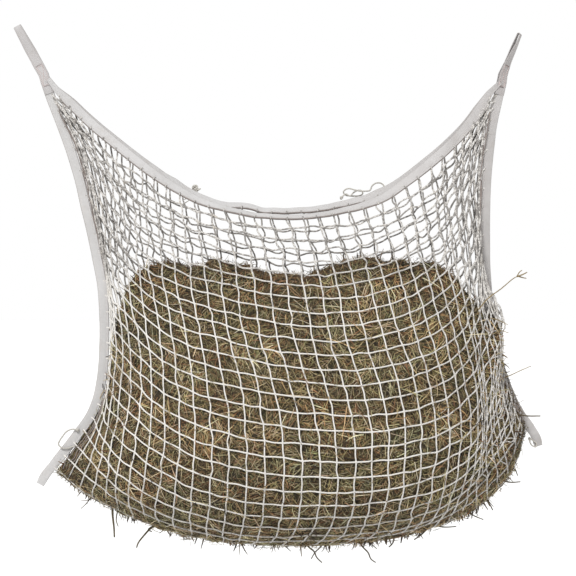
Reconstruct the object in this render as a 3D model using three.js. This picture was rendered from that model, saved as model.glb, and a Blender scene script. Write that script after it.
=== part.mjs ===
// Slow-feeder hay net: a square-mesh bag with webbing bindings, hung by two
// webbing loops and filled with hay.  Millimetres, +Z up, front of the net
// towards -Y.  The origin lies midway between the two hanging points.
import * as THREE from 'three';

// ---------------------------------------------------------------- dimensions
const MESH_COLUMNS = 35;         // meshes across the panel
const MESH_ROWS = 26;            // meshes from the mouth edge to the bottom fold
const NET_THICKNESS = 4.0;       // thickness of the netting envelope
const FACE_CLEARANCE = 3.0;      // front and rear netting stand off the mid-plane
const REAR_DEPTH_RATIO = 1.0;   // rear bulge depth / front bulge depth
const WEBBING_WIDTH = 24.0;      // hanging loops and side bindings
const SIDE_THICKNESS = 4.0;      // side binding, folded double
const TOP_THICKNESS = 3.2;       // mouth binding, folded double
const LOOP_PLY = 2.0;            // one ply of a hanging loop
const SEAM_Z = -124;             // the two corner seams, the bag's swing axis
const BULGE_DEPTH = 262;         // furthest reach of the front netting
const HAY_CLEARANCE = 15;        // the filling stops short of the netting
const THREAD_WIDTH = 1.4, THREAD_HEIGHT = 0.8, FACE_GAP = 0.35;
const TIE_RADIUS = 1.9;          // thin tie cords
const TAIL_GAP = 3.2;            // bending room where a free webbing tail starts

// Front netting, control points [x, y, z] every 2.5 columns and every 2 rows.
const FRONT = [
  [[-566,0,-136], [-496,-11,-207], [-424,-17,-274], [-347,-22,-337], [-268,-28,-395], [-179,-34,-436], [-84,-37,-459], [12,-39,-475], [110,-39,-470], [206,-36,-452], [296,-30,-415], [377,-23,-360], [449,-16,-292], [508,-11,-213], [563,-3,-132]],
  [[-537,0,-209], [-475,-10,-276], [-412,-16,-340], [-341,-23,-398], [-260,-30,-448], [-169,-38,-486], [-71,-47,-512], [29,-52,-525], [128,-52,-524], [223,-44,-507], [310,-33,-472], [386,-24,-419], [449,-16,-355], [501,-9,-279], [545,-3,-204]],
  [[-502,0,-280], [-456,-9,-344], [-401,-16,-405], [-334,-25,-459], [-253,-37,-505], [-159,-53,-540], [-57,-68,-566], [44,-77,-579], [144,-76,-580], [240,-63,-564], [325,-44,-530], [396,-27,-481], [453,-17,-418], [497,-9,-346], [532,-3,-271]],
  [[-479,0,-355], [-441,-9,-411], [-393,-17,-468], [-328,-32,-523], [-246,-56,-568], [-150,-81,-599], [-47,-102,-623], [55,-114,-639], [157,-114,-641], [255,-95,-624], [341,-66,-592], [409,-37,-544], [460,-18,-484], [495,-9,-414], [524,-3,-339]],
  [[-461,0,-432], [-431,-9,-476], [-387,-22,-531], [-321,-50,-590], [-237,-89,-637], [-142,-120,-664], [-43,-145,-689], [63,-156,-704], [167,-154,-706], [267,-134,-689], [356,-98,-657], [423,-57,-611], [469,-25,-553], [503,-10,-484], [520,-3,-407]],
  [[-443,0,-509], [-423,-9,-541], [-384,-29,-591], [-309,-77,-662], [-222,-126,-708], [-129,-158,-734], [-33,-178,-757], [74,-188,-771], [180,-185,-772], [284,-165,-756], [373,-126,-725], [438,-81,-681], [480,-39,-626], [511,-22,-557], [518,-1,-476]],
  [[-425,0,-586], [-413,-8,-615], [-377,-40,-660], [-296,-106,-737], [-208,-155,-782], [-112,-188,-807], [-14,-207,-827], [92,-214,-840], [201,-210,-842], [307,-188,-826], [394,-151,-799], [455,-105,-760], [493,-54,-701], [518,-22,-630], [519,5,-544]],
  [[-413,0,-664], [-401,-18,-700], [-357,-69,-753], [-285,-130,-813], [-197,-181,-857], [-96,-214,-882], [7,-231,-900], [113,-235,-911], [221,-230,-915], [325,-207,-902], [412,-167,-873], [470,-123,-829], [506,-78,-776], [528,-29,-703], [520,15,-612]],
  [[-408,0,-743], [-398,-23,-784], [-349,-89,-834], [-279,-152,-890], [-188,-206,-933], [-85,-237,-959], [19,-251,-975], [127,-253,-985], [234,-248,-988], [334,-226,-976], [423,-186,-949], [485,-135,-904], [516,-95,-849], [546,-58,-776], [526,28,-679]],
  [[-410,0,-821], [-402,-30,-862], [-351,-106,-910], [-276,-179,-966], [-185,-230,-1009], [-82,-253,-1036], [26,-261,-1052], [132,-261,-1059], [237,-254,-1059], [334,-238,-1046], [424,-208,-1022], [489,-162,-980], [520,-114,-923], [542,-79,-848], [533,40,-747]],
  [[-421,0,-900], [-409,-50,-938], [-359,-136,-985], [-280,-201,-1038], [-189,-230,-1084], [-84,-240,-1114], [26,-240,-1130], [133,-239,-1131], [235,-228,-1130], [331,-218,-1116], [416,-202,-1091], [482,-179,-1049], [517,-147,-996], [540,-94,-918], [547,41,-815]],
  [[-449,0,-972], [-420,-93,-1011], [-372,-149,-1060], [-291,-181,-1113], [-196,-194,-1156], [-90,-196,-1186], [19,-192,-1199], [125,-193,-1198], [227,-182,-1194], [322,-176,-1179], [407,-171,-1154], [472,-166,-1112], [515,-152,-1057], [550,-111,-980], [568,32,-879]],
  [[-496,0,-1036], [-438,-97,-1080], [-382,-122,-1131], [-304,-131,-1180], [-202,-135,-1218], [-98,-129,-1244], [6,-125,-1252], [108,-130,-1249], [211,-115,-1246], [310,-103,-1235], [392,-121,-1207], [460,-134,-1164], [519,-129,-1109], [566,-107,-1037], [594,13,-938]],
  [[-544,0,-1099], [-466,-22,-1154], [-384,-31,-1199], [-296,-36,-1235], [-203,-39,-1261], [-108,-41,-1276], [-13,-42,-1281], [82,-42,-1282], [180,-42,-1278], [275,-41,-1266], [364,-40,-1246], [452,-46,-1216], [531,-32,-1167], [593,-33,-1096], [630,-1,-992]],
];

// webbing centrelines [x, y, z]
const LEFT_SIDE = [[-573.8,0,-131.2],[-553.8,0,-186.2],[-532.5,0,-241.2],[-508.8,0,-306.2],[-488.8,0,-366.2],[-472.5,0,-431.2],[-453.8,0,-506.2],[-437.5,0,-576.2],[-426.2,0,-638.8],[-421.2,0,-701.2],[-419.8,0,-763.8],[-422.2,0,-831.2],[-428.8,0,-886.2],[-438.8,0,-928.8],[-456.2,0,-968.8],[-481.2,0,-1003.8],[-512.5,0,-1045],[-546.2,0,-1087.5],[-568.8,0,-1116.2],[-580.5,0,-1137.5]];
const RIGHT_SIDE = [[570.5,0,-131],[558,0,-188.8],[547,0,-238.8],[539.2,0,-301.2],[533,0,-363.8],[530,0,-426.2],[529.5,4,-503.6],[531.5,16,-588.6],[537.5,29,-651.3],[544.1,40,-706.7],[552.2,49,-764.8],[566.3,50,-827.8],[583.4,40,-882.8],[600,24,-927.4],[617.7,10,-961.8],[639.7,3,-992.6],[655.5,0,-1017.5],[663.2,0,-1041.2]];
// mouth bindings [x, y, z, tilt in degrees]: they lie over towards the mouth in the middle
const TOP_FRONT = [[-543.2,-6,-149,0],[-505.5,-8,-185.4,4],[-452.7,-11.5,-236.9,10],[-389.9,-16,-289.9,16],[-322.2,-22,-343.8,24],[-252.1,-28,-391.4,36],[-187.3,-33,-427.7,48],[-117.6,-37,-450.2,58],[-48.1,-40,-464,62],[28.8,-41,-470.2,62],[95.8,-40,-466.4,60],[165.3,-38,-456.5,56],[229.9,-35,-439,46],[284.7,-31,-415.2,34],[339.7,-26,-375.2,24],[389.8,-20,-335,16],[435.1,-15,-294.8,12],[477.8,-11,-249.6,8],[515.6,-8,-197.4,4],[540.5,-6,-158,0]];
const TOP_REAR = [[-543.2,6,-149,0],[-507,8,-181.3,4],[-454.8,11.5,-230.1,10],[-392.6,16,-281.3,16],[-325.3,22,-332.4,24],[-255.4,28,-378.5,36],[-190.2,33,-413.5,48],[-119.9,37,-434.7,58],[-49.4,40,-445.9,62],[28.7,41,-449.7,62],[96.7,40,-445.9,60],[167.2,38,-438.4,56],[232.6,35,-422.2,46],[287.8,31,-398.5,34],[342.8,26,-361,24],[392.7,20,-322.5,16],[437.4,15,-283.9,12],[479.7,11,-240.4,8],[516.5,8,-192.6,4],[540.5,6,-158,0]];
const LOOP_LEFT = { foot: [-574.5, 0, -112.5], tip: [-641, 0, 9] };
const LOOP_RIGHT = { foot: [573, 0, -114], tip: [616, 0, -9] };

// ------------------------------------------------------------------- helpers
const V = (x, y, z) => new THREE.Vector3(x, y, z);
const clamp = (v, a, b) => Math.min(b, Math.max(a, v));
function lin(xs, ys, x) {
  if (x <= xs[0]) return ys[0];
  for (let i = 1; i < xs.length; i++) if (x <= xs[i]) {
    const f = (x - xs[i - 1]) / (xs[i] - xs[i - 1]);
    return ys[i - 1] + f * (ys[i] - ys[i - 1]);
  }
  return ys[ys.length - 1];
}
const cr = (p0, p1, p2, p3, t) =>
  0.5 * (2 * p1 + (p2 - p0) * t + (2 * p0 - 5 * p1 + 4 * p2 - p3) * t * t + (3 * p1 - p0 - 3 * p2 + p3) * t * t * t);
function surf(net, c, r) {                      // bicubic point on a control net
  const u = clamp(c / 2.5, 0, 14), v = clamp(r / 2, 0, 13);
  const i = Math.min(13, Math.floor(u)), j = Math.min(12, Math.floor(v));
  const fu = u - i, fv = v - j, out = [];
  const at = (a, b, k) => {
    const aa = clamp(a, 0, 14), bb = clamp(b, 0, 13);
    let p = net[bb][aa][k];
    if (a < 0) p = 2 * p - net[bb][1][k];
    if (a > 14) p = 2 * p - net[bb][13][k];
    if (b < 0) p = 2 * p - net[1][aa][k];
    if (b > 13) p = 2 * p - net[12][aa][k];
    return p;
  };
  for (let k = 0; k < 3; k++) {
    const q = [];
    for (let b = -1; b < 3; b++) q.push(cr(at(i - 1, j + b, k), at(i, j + b, k), at(i + 1, j + b, k), at(i + 2, j + b, k), fu));
    out.push(cr(q[0], q[1], q[2], q[3], fv));
  }
  return V(out[0], out[1], out[2]);
}
const REAR = FRONT.map((row, j) => row.map((p, i) => {
  const edge = row[14][1];
  if (i === 14) return [p[0], p[1], p[2]];
  if (i === 13) return [p[0] - 4, Math.max(-p[1] * REAR_DEPTH_RATIO, edge + 26), p[2]];
  return [p[0], Math.max(-p[1] * REAR_DEPTH_RATIO, 0), p[2] + 12 * Math.exp(-Math.pow(j / 2.2, 2)) * Math.sin(Math.PI * i / 14)];
}));
const frontAt = (c, r) => surf(FRONT, c, r).add(V(0, -FACE_CLEARANCE, 0));
const rearAt = (c, r) => surf(REAR, c, r).add(V(0, FACE_CLEARANCE, 0));

// closed body from two matching grids of points (outer facing out, inner facing in)
function slab(outer, inner) {
  const n = outer.length, m = outer[0].length, pos = [], idx = [];
  const id = (s, i, j) => s * n * m + i * m + j;
  for (const g of [outer, inner]) for (const row of g) for (const p of row) pos.push(p.x, p.y, p.z);
  const quad = (a, b, c, d) => idx.push(a, b, c, a, c, d);
  for (let i = 0; i < n - 1; i++) for (let j = 0; j < m - 1; j++) {
    quad(id(0, i, j), id(0, i, j + 1), id(0, i + 1, j + 1), id(0, i + 1, j));
    quad(id(1, i, j), id(1, i + 1, j), id(1, i + 1, j + 1), id(1, i, j + 1));
  }
  for (let i = 0; i < n - 1; i++) {
    quad(id(0, i, 0), id(0, i + 1, 0), id(1, i + 1, 0), id(1, i, 0));
    quad(id(0, i, m - 1), id(1, i, m - 1), id(1, i + 1, m - 1), id(0, i + 1, m - 1));
  }
  for (let j = 0; j < m - 1; j++) {
    quad(id(0, 0, j), id(1, 0, j), id(1, 0, j + 1), id(0, 0, j + 1));
    quad(id(0, n - 1, j), id(0, n - 1, j + 1), id(1, n - 1, j + 1), id(1, n - 1, j));
  }
  return outward(pos, idx);
}
function outward(pos, idx) {                    // turn the faces out if they face in
  let vol = 0;
  const P = (i) => V(pos[3 * i], pos[3 * i + 1], pos[3 * i + 2]);
  for (let i = 0; i < idx.length; i += 3) vol += P(idx[i]).dot(P(idx[i + 1]).cross(P(idx[i + 2])));
  if (vol < 0) for (let i = 0; i < idx.length; i += 3) [idx[i + 1], idx[i + 2]] = [idx[i + 2], idx[i + 1]];
  const g = new THREE.BufferGeometry();
  g.setAttribute('position', new THREE.Float32BufferAttribute(pos, 3));
  g.setIndex(idx);
  return g;
}
// netting envelope between rows r0..r1 and columns c0..c1, NET_THICKNESS along Y
function netShell(at, c0, c1, r0, r1, nc, nr) {
  const o = [], q = [];
  for (let i = 0; i <= nc; i++) {
    const a = [], b = [];
    for (let j = 0; j <= nr; j++) {
      const p = at(c0 + (c1 - c0) * i / nc, r0 + (r1 - r0) * j / nr);
      a.push(p.clone().add(V(0, -NET_THICKNESS / 2, 0)));
      b.push(p.clone().add(V(0, NET_THICKNESS / 2, 0)));
    }
    o.push(a); q.push(b);
  }
  return slab(o, q);
}
// flat webbing along a centreline; tilt turns its width away from the XZ plane
function strap(points, width, thick, from, to, steps, shift = [0, 0], section = null) {
  const curve = new THREE.CatmullRomCurve3(points.map((p) => V(p[0], p[1], p[2])), false, 'centripetal');
  curve.arcLengthDivisions = 600;
  const L = curve.getLength();
  const rings = [];
  for (let i = 0; i <= steps; i++) {
    const s = from + ((to === null ? L : to) - from) * i / steps, u = clamp(s / L, 0, 1);
    const p = curve.getPointAt(u), t = curve.getTangentAt(u);
    const tt = curve.getUtoTmapping(u) * (points.length - 1);
    const k = Math.min(points.length - 2, Math.floor(tt));
    const tilt = ((points[k][3] || 0) * (1 - tt + k) + (points[k + 1][3] || 0) * (tt - k)) * Math.PI / 180 * (points.side || 1);
    const up = V(-t.z, 0, t.x).normalize(); if (up.z < 0 && points.level) up.negate();
    const nrm = V(0, -1, 0);
    const w = up.clone().multiplyScalar(Math.cos(tilt)).add(nrm.clone().multiplyScalar(-Math.sin(tilt)));
    w.addScaledVector(t, -w.dot(t)).normalize();
    const n = new THREE.Vector3().crossVectors(w, t).normalize();
    if (n.y > 0) n.negate();
    const [a0, a1, b0, b1] = section || [-width / 2, width / 2, -thick / 2, thick / 2];
    rings.push([[a0, b0], [a1, b0], [a1, b1], [a0, b1]].map(([a, b]) =>
      p.clone().addScaledVector(w, a + shift[0]).addScaledVector(n, b + shift[1])));
  }
  const pos = [], idx = [];
  for (const r of rings) for (const q of r) pos.push(q.x, q.y, q.z);
  for (let i = 0; i < rings.length - 1; i++) for (let j = 0; j < 4; j++) {
    const a = 4 * i + j, b = 4 * i + (j + 1) % 4;
    idx.push(a, b, b + 4, a, b + 4, a + 4);
  }
  const e = 4 * (rings.length - 1);
  idx.push(0, 2, 1, 0, 3, 2, e, e + 1, e + 2, e, e + 2, e + 3);
  return outward(pos, idx);
}
function cord(points, radius, steps) {          // round tie cord along a smooth curve
  const sec = new THREE.Shape();
  for (let i = 0; i < 8; i++) {
    const a = 2 * Math.PI * i / 8;
    sec[i ? 'lineTo' : 'moveTo'](radius * Math.cos(a), radius * Math.sin(a));
  }
  sec.closePath();
  const curve = new THREE.CatmullRomCurve3(points.map((p) => V(...p)), false, 'centripetal');
  return new THREE.ExtrudeGeometry(sec, { steps, extrudePath: curve, bevelEnabled: false });
}
// a hanging loop: one webbing folded back on itself, its two plies sewn together at the foot
function loopGeometry(length, eyeRadius, sewn) {
  const R = eyeRadius + LOOP_PLY, g0 = LOOP_PLY + 0.2, shape = new THREE.Shape(), hole = new THREE.Path();
  const half = (s) => g0 + (R - g0) * THREE.MathUtils.smoothstep(s, sewn, length - R - 18);
  const out = [[g0, 0]], ins = [];
  const N = 7;
  for (let i = 0; i <= N; i++) { const s = sewn + (length - R - sewn) * i / N; out.push([half(s), s]); }
  for (let i = 1; i < 8; i++) { const a = Math.PI * i / 8; out.push([R * Math.cos(a), length - R + R * Math.sin(a)]); }
  for (let i = N; i >= 0; i--) { const s = sewn + (length - R - sewn) * i / N; out.push([-half(s), s]); }
  out.push([-g0, 0]);
  const s0 = sewn + 16;
  for (let i = 0; i <= N; i++) { const s = s0 + (length - R - s0) * i / N; ins.push([Math.max(half(s) - LOOP_PLY, 0.35), s]); }
  const r = eyeRadius;
  for (let i = 1; i < 8; i++) { const a = Math.PI * i / 8; ins.push([r * Math.cos(a), length - R + r * Math.sin(a)]); }
  for (let i = N; i >= 0; i--) { const s = s0 + (length - R - s0) * i / N; ins.push([-Math.max(half(s) - LOOP_PLY, 0.35), s]); }
  out.forEach(([a, b], i) => shape[i ? 'lineTo' : 'moveTo'](a, b)); shape.closePath();
  ins.forEach(([a, b], i) => hole[i ? 'lineTo' : 'moveTo'](a, b)); hole.closePath();
  shape.holes.push(hole);
  const g = new THREE.ExtrudeGeometry(shape, { depth: WEBBING_WIDTH, bevelEnabled: false, steps: 1 });
  g.translate(0, 0, -WEBBING_WIDTH / 2);
  return g;
}

// ----------------------------------------------------------------- materials
const mat = (color, roughness) => new THREE.MeshStandardMaterial({ color, roughness, metalness: 0 });
const M = {
  webbing: () => mat(0xd9d6d4, 0.82), netting: () => mat(0xe2ded8, 0.78), thread: () => mat(0xcfc2bf, 0.7),
  cord: () => mat(0xc9c6bf, 0.8), hay: () => mat(0x7a6a44, 0.95),
};
const net = new THREE.Group();
function add(name, geometry, material, parent = net) {
  const m = new THREE.Mesh(geometry, material);
  m.name = name; parent.add(m); return m;
}

// ------------------------------------------------------------- hanging loops
const hangers = new THREE.Group(); net.add(hangers);
function hangingLoop(name, spec, flatToFront, eyeRadius) {
  const foot = V(...spec.foot), tip = V(...spec.tip), d = tip.clone().sub(foot), L = d.length(); d.normalize();
  const side = V(0, 1, 0), across = new THREE.Vector3().crossVectors(side, d).normalize();
  // local x: ply spacing, local y: along the loop, local z: webbing width
  const basis = flatToFront ? new THREE.Matrix4().makeBasis(side, d, new THREE.Vector3().crossVectors(side, d))
    : new THREE.Matrix4().makeBasis(across, d, new THREE.Vector3().crossVectors(across, d));
  const m = add(name, loopGeometry(L, eyeRadius, 30), M.webbing(), hangers);
  m.position.copy(foot); m.quaternion.setFromRotationMatrix(basis);
  return { foot, d, basis };
}
const hl = hangingLoop('hang_loop_left', LOOP_LEFT, true, 7.5);
const hr = hangingLoop('hang_loop_right', LOOP_RIGHT, false, 4.6);
for (const [name, h, sgn] of [['bartack_left', hl, -1], ['bartack_right', hr, 1]]) {
  const b = new THREE.BoxGeometry(1.0, 22, WEBBING_WIDTH - 6);
  b.translate(sgn * (LOOP_PLY + 0.2 + FACE_GAP + 0.5), 14, 0);
  const m = add(name, b, M.thread(), hangers);
  m.position.copy(h.foot); m.quaternion.setFromRotationMatrix(h.basis);
}

// ------------------------------------------------------------ side bindings
const bag = new THREE.Group(); net.add(bag);
const lenOf = (pts) => { const c = new THREE.CatmullRomCurve3(pts.map((p) => V(p[0], p[1], p[2])), false, 'centripetal'); c.arcLengthDivisions = 600; return c.getLength(); };
const LL = lenOf(LEFT_SIDE), LR = lenOf(RIGHT_SIDE);
const TAIL_LEFT = 74, TAIL_RIGHT = 52;         // free tails beyond the bag's lower corners
add('side_binding_left', strap(LEFT_SIDE, WEBBING_WIDTH, SIDE_THICKNESS, 0, LL - TAIL_LEFT - TAIL_GAP / 2, 30), M.webbing(), bag);
add('side_binding_right', strap(RIGHT_SIDE, WEBBING_WIDTH, SIDE_THICKNESS, 0, LR - TAIL_RIGHT - TAIL_GAP / 2, 30), M.webbing(), bag);
add('webbing_tail_left', strap(LEFT_SIDE, WEBBING_WIDTH - 1, SIDE_THICKNESS - 0.6, LL - TAIL_LEFT + TAIL_GAP / 2, null, 4), M.webbing(), bag);
add('webbing_tail_right', strap(RIGHT_SIDE, WEBBING_WIDTH - 1, SIDE_THICKNESS - 0.6, LR - TAIL_RIGHT + TAIL_GAP / 2, null, 4), M.webbing(), bag);
const hs = SIDE_THICKNESS / 2 + 2 * FACE_GAP, ht = TOP_THICKNESS / 2 + FACE_GAP;
add('side_seam_left', strap(LEFT_SIDE, 0, 0, 34, LL - TAIL_LEFT - 14, 30, [0, 0], [6.5, 6.5 + THREAD_WIDTH, hs, hs + THREAD_HEIGHT]), M.thread(), bag);
add('side_seam_right', strap(RIGHT_SIDE, 0, 0, 34, LR - TAIL_RIGHT - 14, 30, [0, 0], [-6.5 - THREAD_WIDTH, -6.5, hs, hs + THREAD_HEIGHT]), M.thread(), bag);

// ----------------------------------------------------------- mouth bindings
const lipFront = new THREE.Group(), lipRear = new THREE.Group(); net.add(lipFront, lipRear);
TOP_FRONT.level = true; TOP_FRONT.side = 1; TOP_REAR.level = true; TOP_REAR.side = -1;
add('top_binding_front', strap(TOP_FRONT, WEBBING_WIDTH, TOP_THICKNESS, 0, null, 36), M.webbing(), lipFront);
add('top_binding_rear', strap(TOP_REAR, WEBBING_WIDTH, TOP_THICKNESS, 0, null, 36), M.webbing(), lipRear);
add('top_seam_front', strap(TOP_FRONT, 0, 0, 12, lenOf(TOP_FRONT) - 12, 36, [0, 0], [-8 - THREAD_WIDTH, -8, ht, ht + THREAD_HEIGHT]), M.thread(), lipFront);
add('top_seam_rear', strap(TOP_REAR, 0, 0, 12, lenOf(TOP_REAR) - 12, 36, [0, 0], [-8 - THREAD_WIDTH, -8, -ht - THREAD_HEIGHT, -ht]), M.thread(), lipRear);

// ------------------------------------------------------------------ netting
add('net_front_upper', netShell(frontAt, 1.8, MESH_COLUMNS - 3.0, 0.6, 3.9, 24, 3), M.netting(), lipFront);
add('net_rear_upper', netShell(rearAt, 1.8, MESH_COLUMNS - 3.0, 0.6, 3.9, 24, 3), M.netting(), lipRear);
add('net_front_lower', netShell(frontAt, 0.7, MESH_COLUMNS - 0.7, 4.1, 23.9, 24, 15), M.netting(), bag);
add('net_rear_lower', netShell(rearAt, 0.7, MESH_COLUMNS - 0.7, 4.1, 23.9, 24, 15), M.netting(), bag);
{ // the fold of the panel under the hay
  const path = (c) => [24.1, 24.7, 25.4, 26].map((r) => frontAt(c, r)).concat([26, 25.4, 24.7, 24.1].map((r) => rearAt(c, r)));
  const o = [], q = [], c0 = 2.2, c1 = 33.6, nc = 24;
  for (let i = 0; i <= nc; i++) {
    const p = path(c0 + (c1 - c0) * i / nc), a = [], b = [];
    for (let j = 0; j < p.length; j++) {
      const t = p[Math.min(j + 1, p.length - 1)].clone().sub(p[Math.max(j - 1, 0)]);
      const n = V(0, t.z, -t.y).normalize();           // outward: down and away
      a.push(p[j].clone().addScaledVector(n, NET_THICKNESS / 2));
      b.push(p[j].clone().addScaledVector(n, -NET_THICKNESS / 2));
    }
    o.push(a); q.push(b);
  }
  add('net_bottom', slab(o, q), M.netting(), bag);
}

// ---------------------------------------------------------------------- hay
{ // a crowned filling: its outline seen from the front and its depth at every point
  const X = [-503, -481, -451, -427, -411, -403, -395, -383, -346, -300, -240, -180, -120, -60, 0, 60, 120, 180, 240, 300, 360, 410, 450, 480, 503, 519, 534, 551, 565, 581, 597];
  const TOP = [-1087, -1047, -1006, -970, -930, -888, -800, -736, -668, -628, -610, -604, -600, -606, -612, -616, -618, -610, -600, -600, -606, -622, -645, -672, -712, -776, -833, -891, -931, -969, -1006];
  const BOT = [-1104, -1120, -1141, -1156, -1166, -1171, -1176, -1183, -1200, -1221, -1241, -1256, -1262, -1265, -1266, -1266, -1265, -1262, -1255, -1245, -1231, -1216, -1200, -1184, -1166, -1155, -1144, -1126, -1108, -1088, -1062];
  const T = (z) => lin([-1300, -1076, -926, -814, -709, -641, -609, -540], [1, 1, 0.9, 0.77, 0.6, 0.44, 0.36, 0.2], z);
  const Q = (d) => lin([0, 8, 21, 42, 66, 100, 132, 170, 208, 900], [0.2, 0.36, 0.5, 0.63, 0.74, 0.84, 0.92, 0.975, 1, 1], d);
  const XL = (z) => lin([-1300, -1101, -1045, -1004, -968, -928, -886, -831, -764, -639, -506], [-545, -514, -486, -454, -426, -409, -401, -395, -392, -396, -402], z);
  const XR = (z) => lin([-1300, -1035, -995, -964, -928, -874, -840, -805, -770, -735, -680, -600], [624, 606, 594, 580, 565, 552, 542, 532, 524, 515, 505, 500], z);
  const half = (x, z, bot) => {
    const t = clamp((x - XL(z)) / (XR(z) - XL(z)), 0, 1);
    const s = Math.pow(Math.max(0, 1 - Math.pow(Math.abs(2 * t - 1), 2.5)), 0.62);
    return BULGE_DEPTH * T(z) * Q(Math.max(z - bot, 0)) * s;
  };
  const nx = X.length, nz = 11, o = [], q = [];
  for (let i = 0; i < nx; i++) {
    const a = [], b = [];
    for (let j = 0; j < nz; j++) {
      const f = j / (nz - 1), e = 1 - Math.pow(1 - f, 1.5);
      const z = TOP[i] + (BOT[i] - TOP[i]) * e;
      const h = half(X[i], z, BOT[i]);
      const crown = j === 0 ? 0.72 : 1;
      a.push(V(X[i], -Math.max(h * crown - HAY_CLEARANCE, 6), z));
      b.push(V(X[i], Math.max(h * crown * REAR_DEPTH_RATIO - HAY_CLEARANCE, 6), z));
    }
    o.push(a); q.push(b);
  }
  add('hay_fill', slab(o, q), M.hay(), bag);
}

// ---------------------------------------------------------------- tie cords
add('tie_cord_top', cord([[171,44,-418],[182,46,-409],[192,47,-427+12],[203,48,-406],[219,48,-402],[224,50,-408],[210,52,-413],[194,53,-414],[182,52,-412],[176,50,-405],[181,47,-398.5],[190,42,-396],[204,40,-399],[218,40,-402],[232,41,-402],[243,41,-400],[248,41,-389],[258,41,-382],[268,41,-381.5],[276,40,-386],[279,38,-392]], TIE_RADIUS, 34), M.cord(), lipRear);
add('tie_knot_top', cord([[-200,46,-399],[-205,48,-394],[-202,50,-388],[-196,50,-387],[-192,48,-391],[-195,45,-396],[-190,43,-399],[-184,43,-395]], TIE_RADIUS, 16), M.cord(), lipRear);
add('tie_cord_left', cord([[-489,-7,-1000],[-504,-7,-999],[-517,-7,-1005],[-527,-7,-1017],[-534,-7,-1028],[-537,-7,-1036],[-533,-7,-1042],[-526,-7,-1046],[-514,-7,-1046],[-503,-7,-1043],[-494,-7,-1041]], TIE_RADIUS, 26), M.cord(), bag);
add('tie_cord_right', cord([[640,-7,-1022],[650,-7,-1029],[658,-7,-1036],[655,-7,-1044],[646,-7,-1038],[638,-8,-1030]], TIE_RADIUS, 16), M.cord(), bag);

export default net;
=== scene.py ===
import math

import bpy
import numpy as np
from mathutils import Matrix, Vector


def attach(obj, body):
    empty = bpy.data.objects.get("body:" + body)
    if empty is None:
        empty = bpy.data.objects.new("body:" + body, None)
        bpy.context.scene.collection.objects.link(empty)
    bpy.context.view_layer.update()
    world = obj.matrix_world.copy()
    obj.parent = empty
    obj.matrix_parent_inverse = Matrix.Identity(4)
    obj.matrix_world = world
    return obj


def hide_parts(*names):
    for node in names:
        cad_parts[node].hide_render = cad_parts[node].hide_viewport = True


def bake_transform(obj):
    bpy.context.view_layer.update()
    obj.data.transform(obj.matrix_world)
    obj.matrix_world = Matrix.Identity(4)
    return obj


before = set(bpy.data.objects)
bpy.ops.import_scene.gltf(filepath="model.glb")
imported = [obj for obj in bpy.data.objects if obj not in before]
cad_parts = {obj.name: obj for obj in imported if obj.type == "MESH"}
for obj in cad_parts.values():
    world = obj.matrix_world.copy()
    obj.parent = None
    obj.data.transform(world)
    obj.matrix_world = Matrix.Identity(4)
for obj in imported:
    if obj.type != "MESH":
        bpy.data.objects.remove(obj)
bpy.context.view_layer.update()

scene = bpy.context.scene
rng = np.random.default_rng(20811)
MM = 0.001


# ---------------------------------------------------------------------------
# camera: level, straight at the front, long lens
# ---------------------------------------------------------------------------
camera_data = bpy.data.cameras.new("camera")
camera_data.sensor_width = 36.0
camera_data.lens = 125.0
camera_data.clip_start, camera_data.clip_end = 0.1, 200.0
camera = bpy.data.objects.new("camera", camera_data)
camera.location = (0.03625, -5.0, -0.64625)
camera.rotation_euler = (math.radians(90), 0, 0)
scene.collection.objects.link(camera)
scene.camera = camera


# ---------------------------------------------------------------------------
# mesh making
# ---------------------------------------------------------------------------
def unit(v):
    return v / np.maximum(np.linalg.norm(v, axis=-1, keepdims=True), 1e-12)


class Soup:
    """Gathers vertices, polygons, UVs per corner and a colour per vertex, for one mesh."""

    def __init__(self):
        self.v, self.p, self.uv, self.c, self.n = [], [], [], [], 0

    def add(self, verts, polys, uvs, colour=None):
        verts = np.asarray(verts, float).reshape(-1, 3)
        self.v.append(verts)
        for p, u in zip(polys, uvs):
            if len(p):
                self.p.append(np.asarray(p, np.int64) + self.n)
                self.uv.append(np.asarray(u, float).reshape(len(p), -1, 2))
        c = np.ones((len(verts), 4))
        if colour is not None:
            c[:, :3] = colour
        self.c.append(c)
        self.n += len(verts)

    def mesh(self, name, material, smooth=True, tint=False):
        v = np.concatenate(self.v)
        loops = np.concatenate([p.ravel() for p in self.p]).astype(np.int32)
        counts = np.concatenate([np.full(len(p), p.shape[1]) for p in self.p])
        starts = np.concatenate([[0], np.cumsum(counts)[:-1]]).astype(np.int32)
        me = bpy.data.meshes.new(name)
        me.vertices.add(len(v))
        me.vertices.foreach_set("co", v.astype(np.float32).ravel())
        me.loops.add(len(loops))
        me.loops.foreach_set("vertex_index", loops)
        me.polygons.add(len(counts))
        me.polygons.foreach_set("loop_start", starts)
        me.polygons.foreach_set("use_smooth", np.full(len(counts), smooth))
        uv = np.concatenate([u.reshape(-1, 2) for u in self.uv])
        layer = me.uv_layers.new(name="weave")
        layer.data.foreach_set("uv", uv.astype(np.float32).ravel())
        if tint:
            attribute = me.attributes.new("tint", "FLOAT_COLOR", "POINT")
            attribute.data.foreach_set("color", np.concatenate(self.c).astype(np.float32).ravel())
        me.update(calc_edges=True)
        me.validate()
        me.materials.append(material)
        o = bpy.data.objects.new(name, me)
        scene.collection.objects.link(o)
        return o


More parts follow.
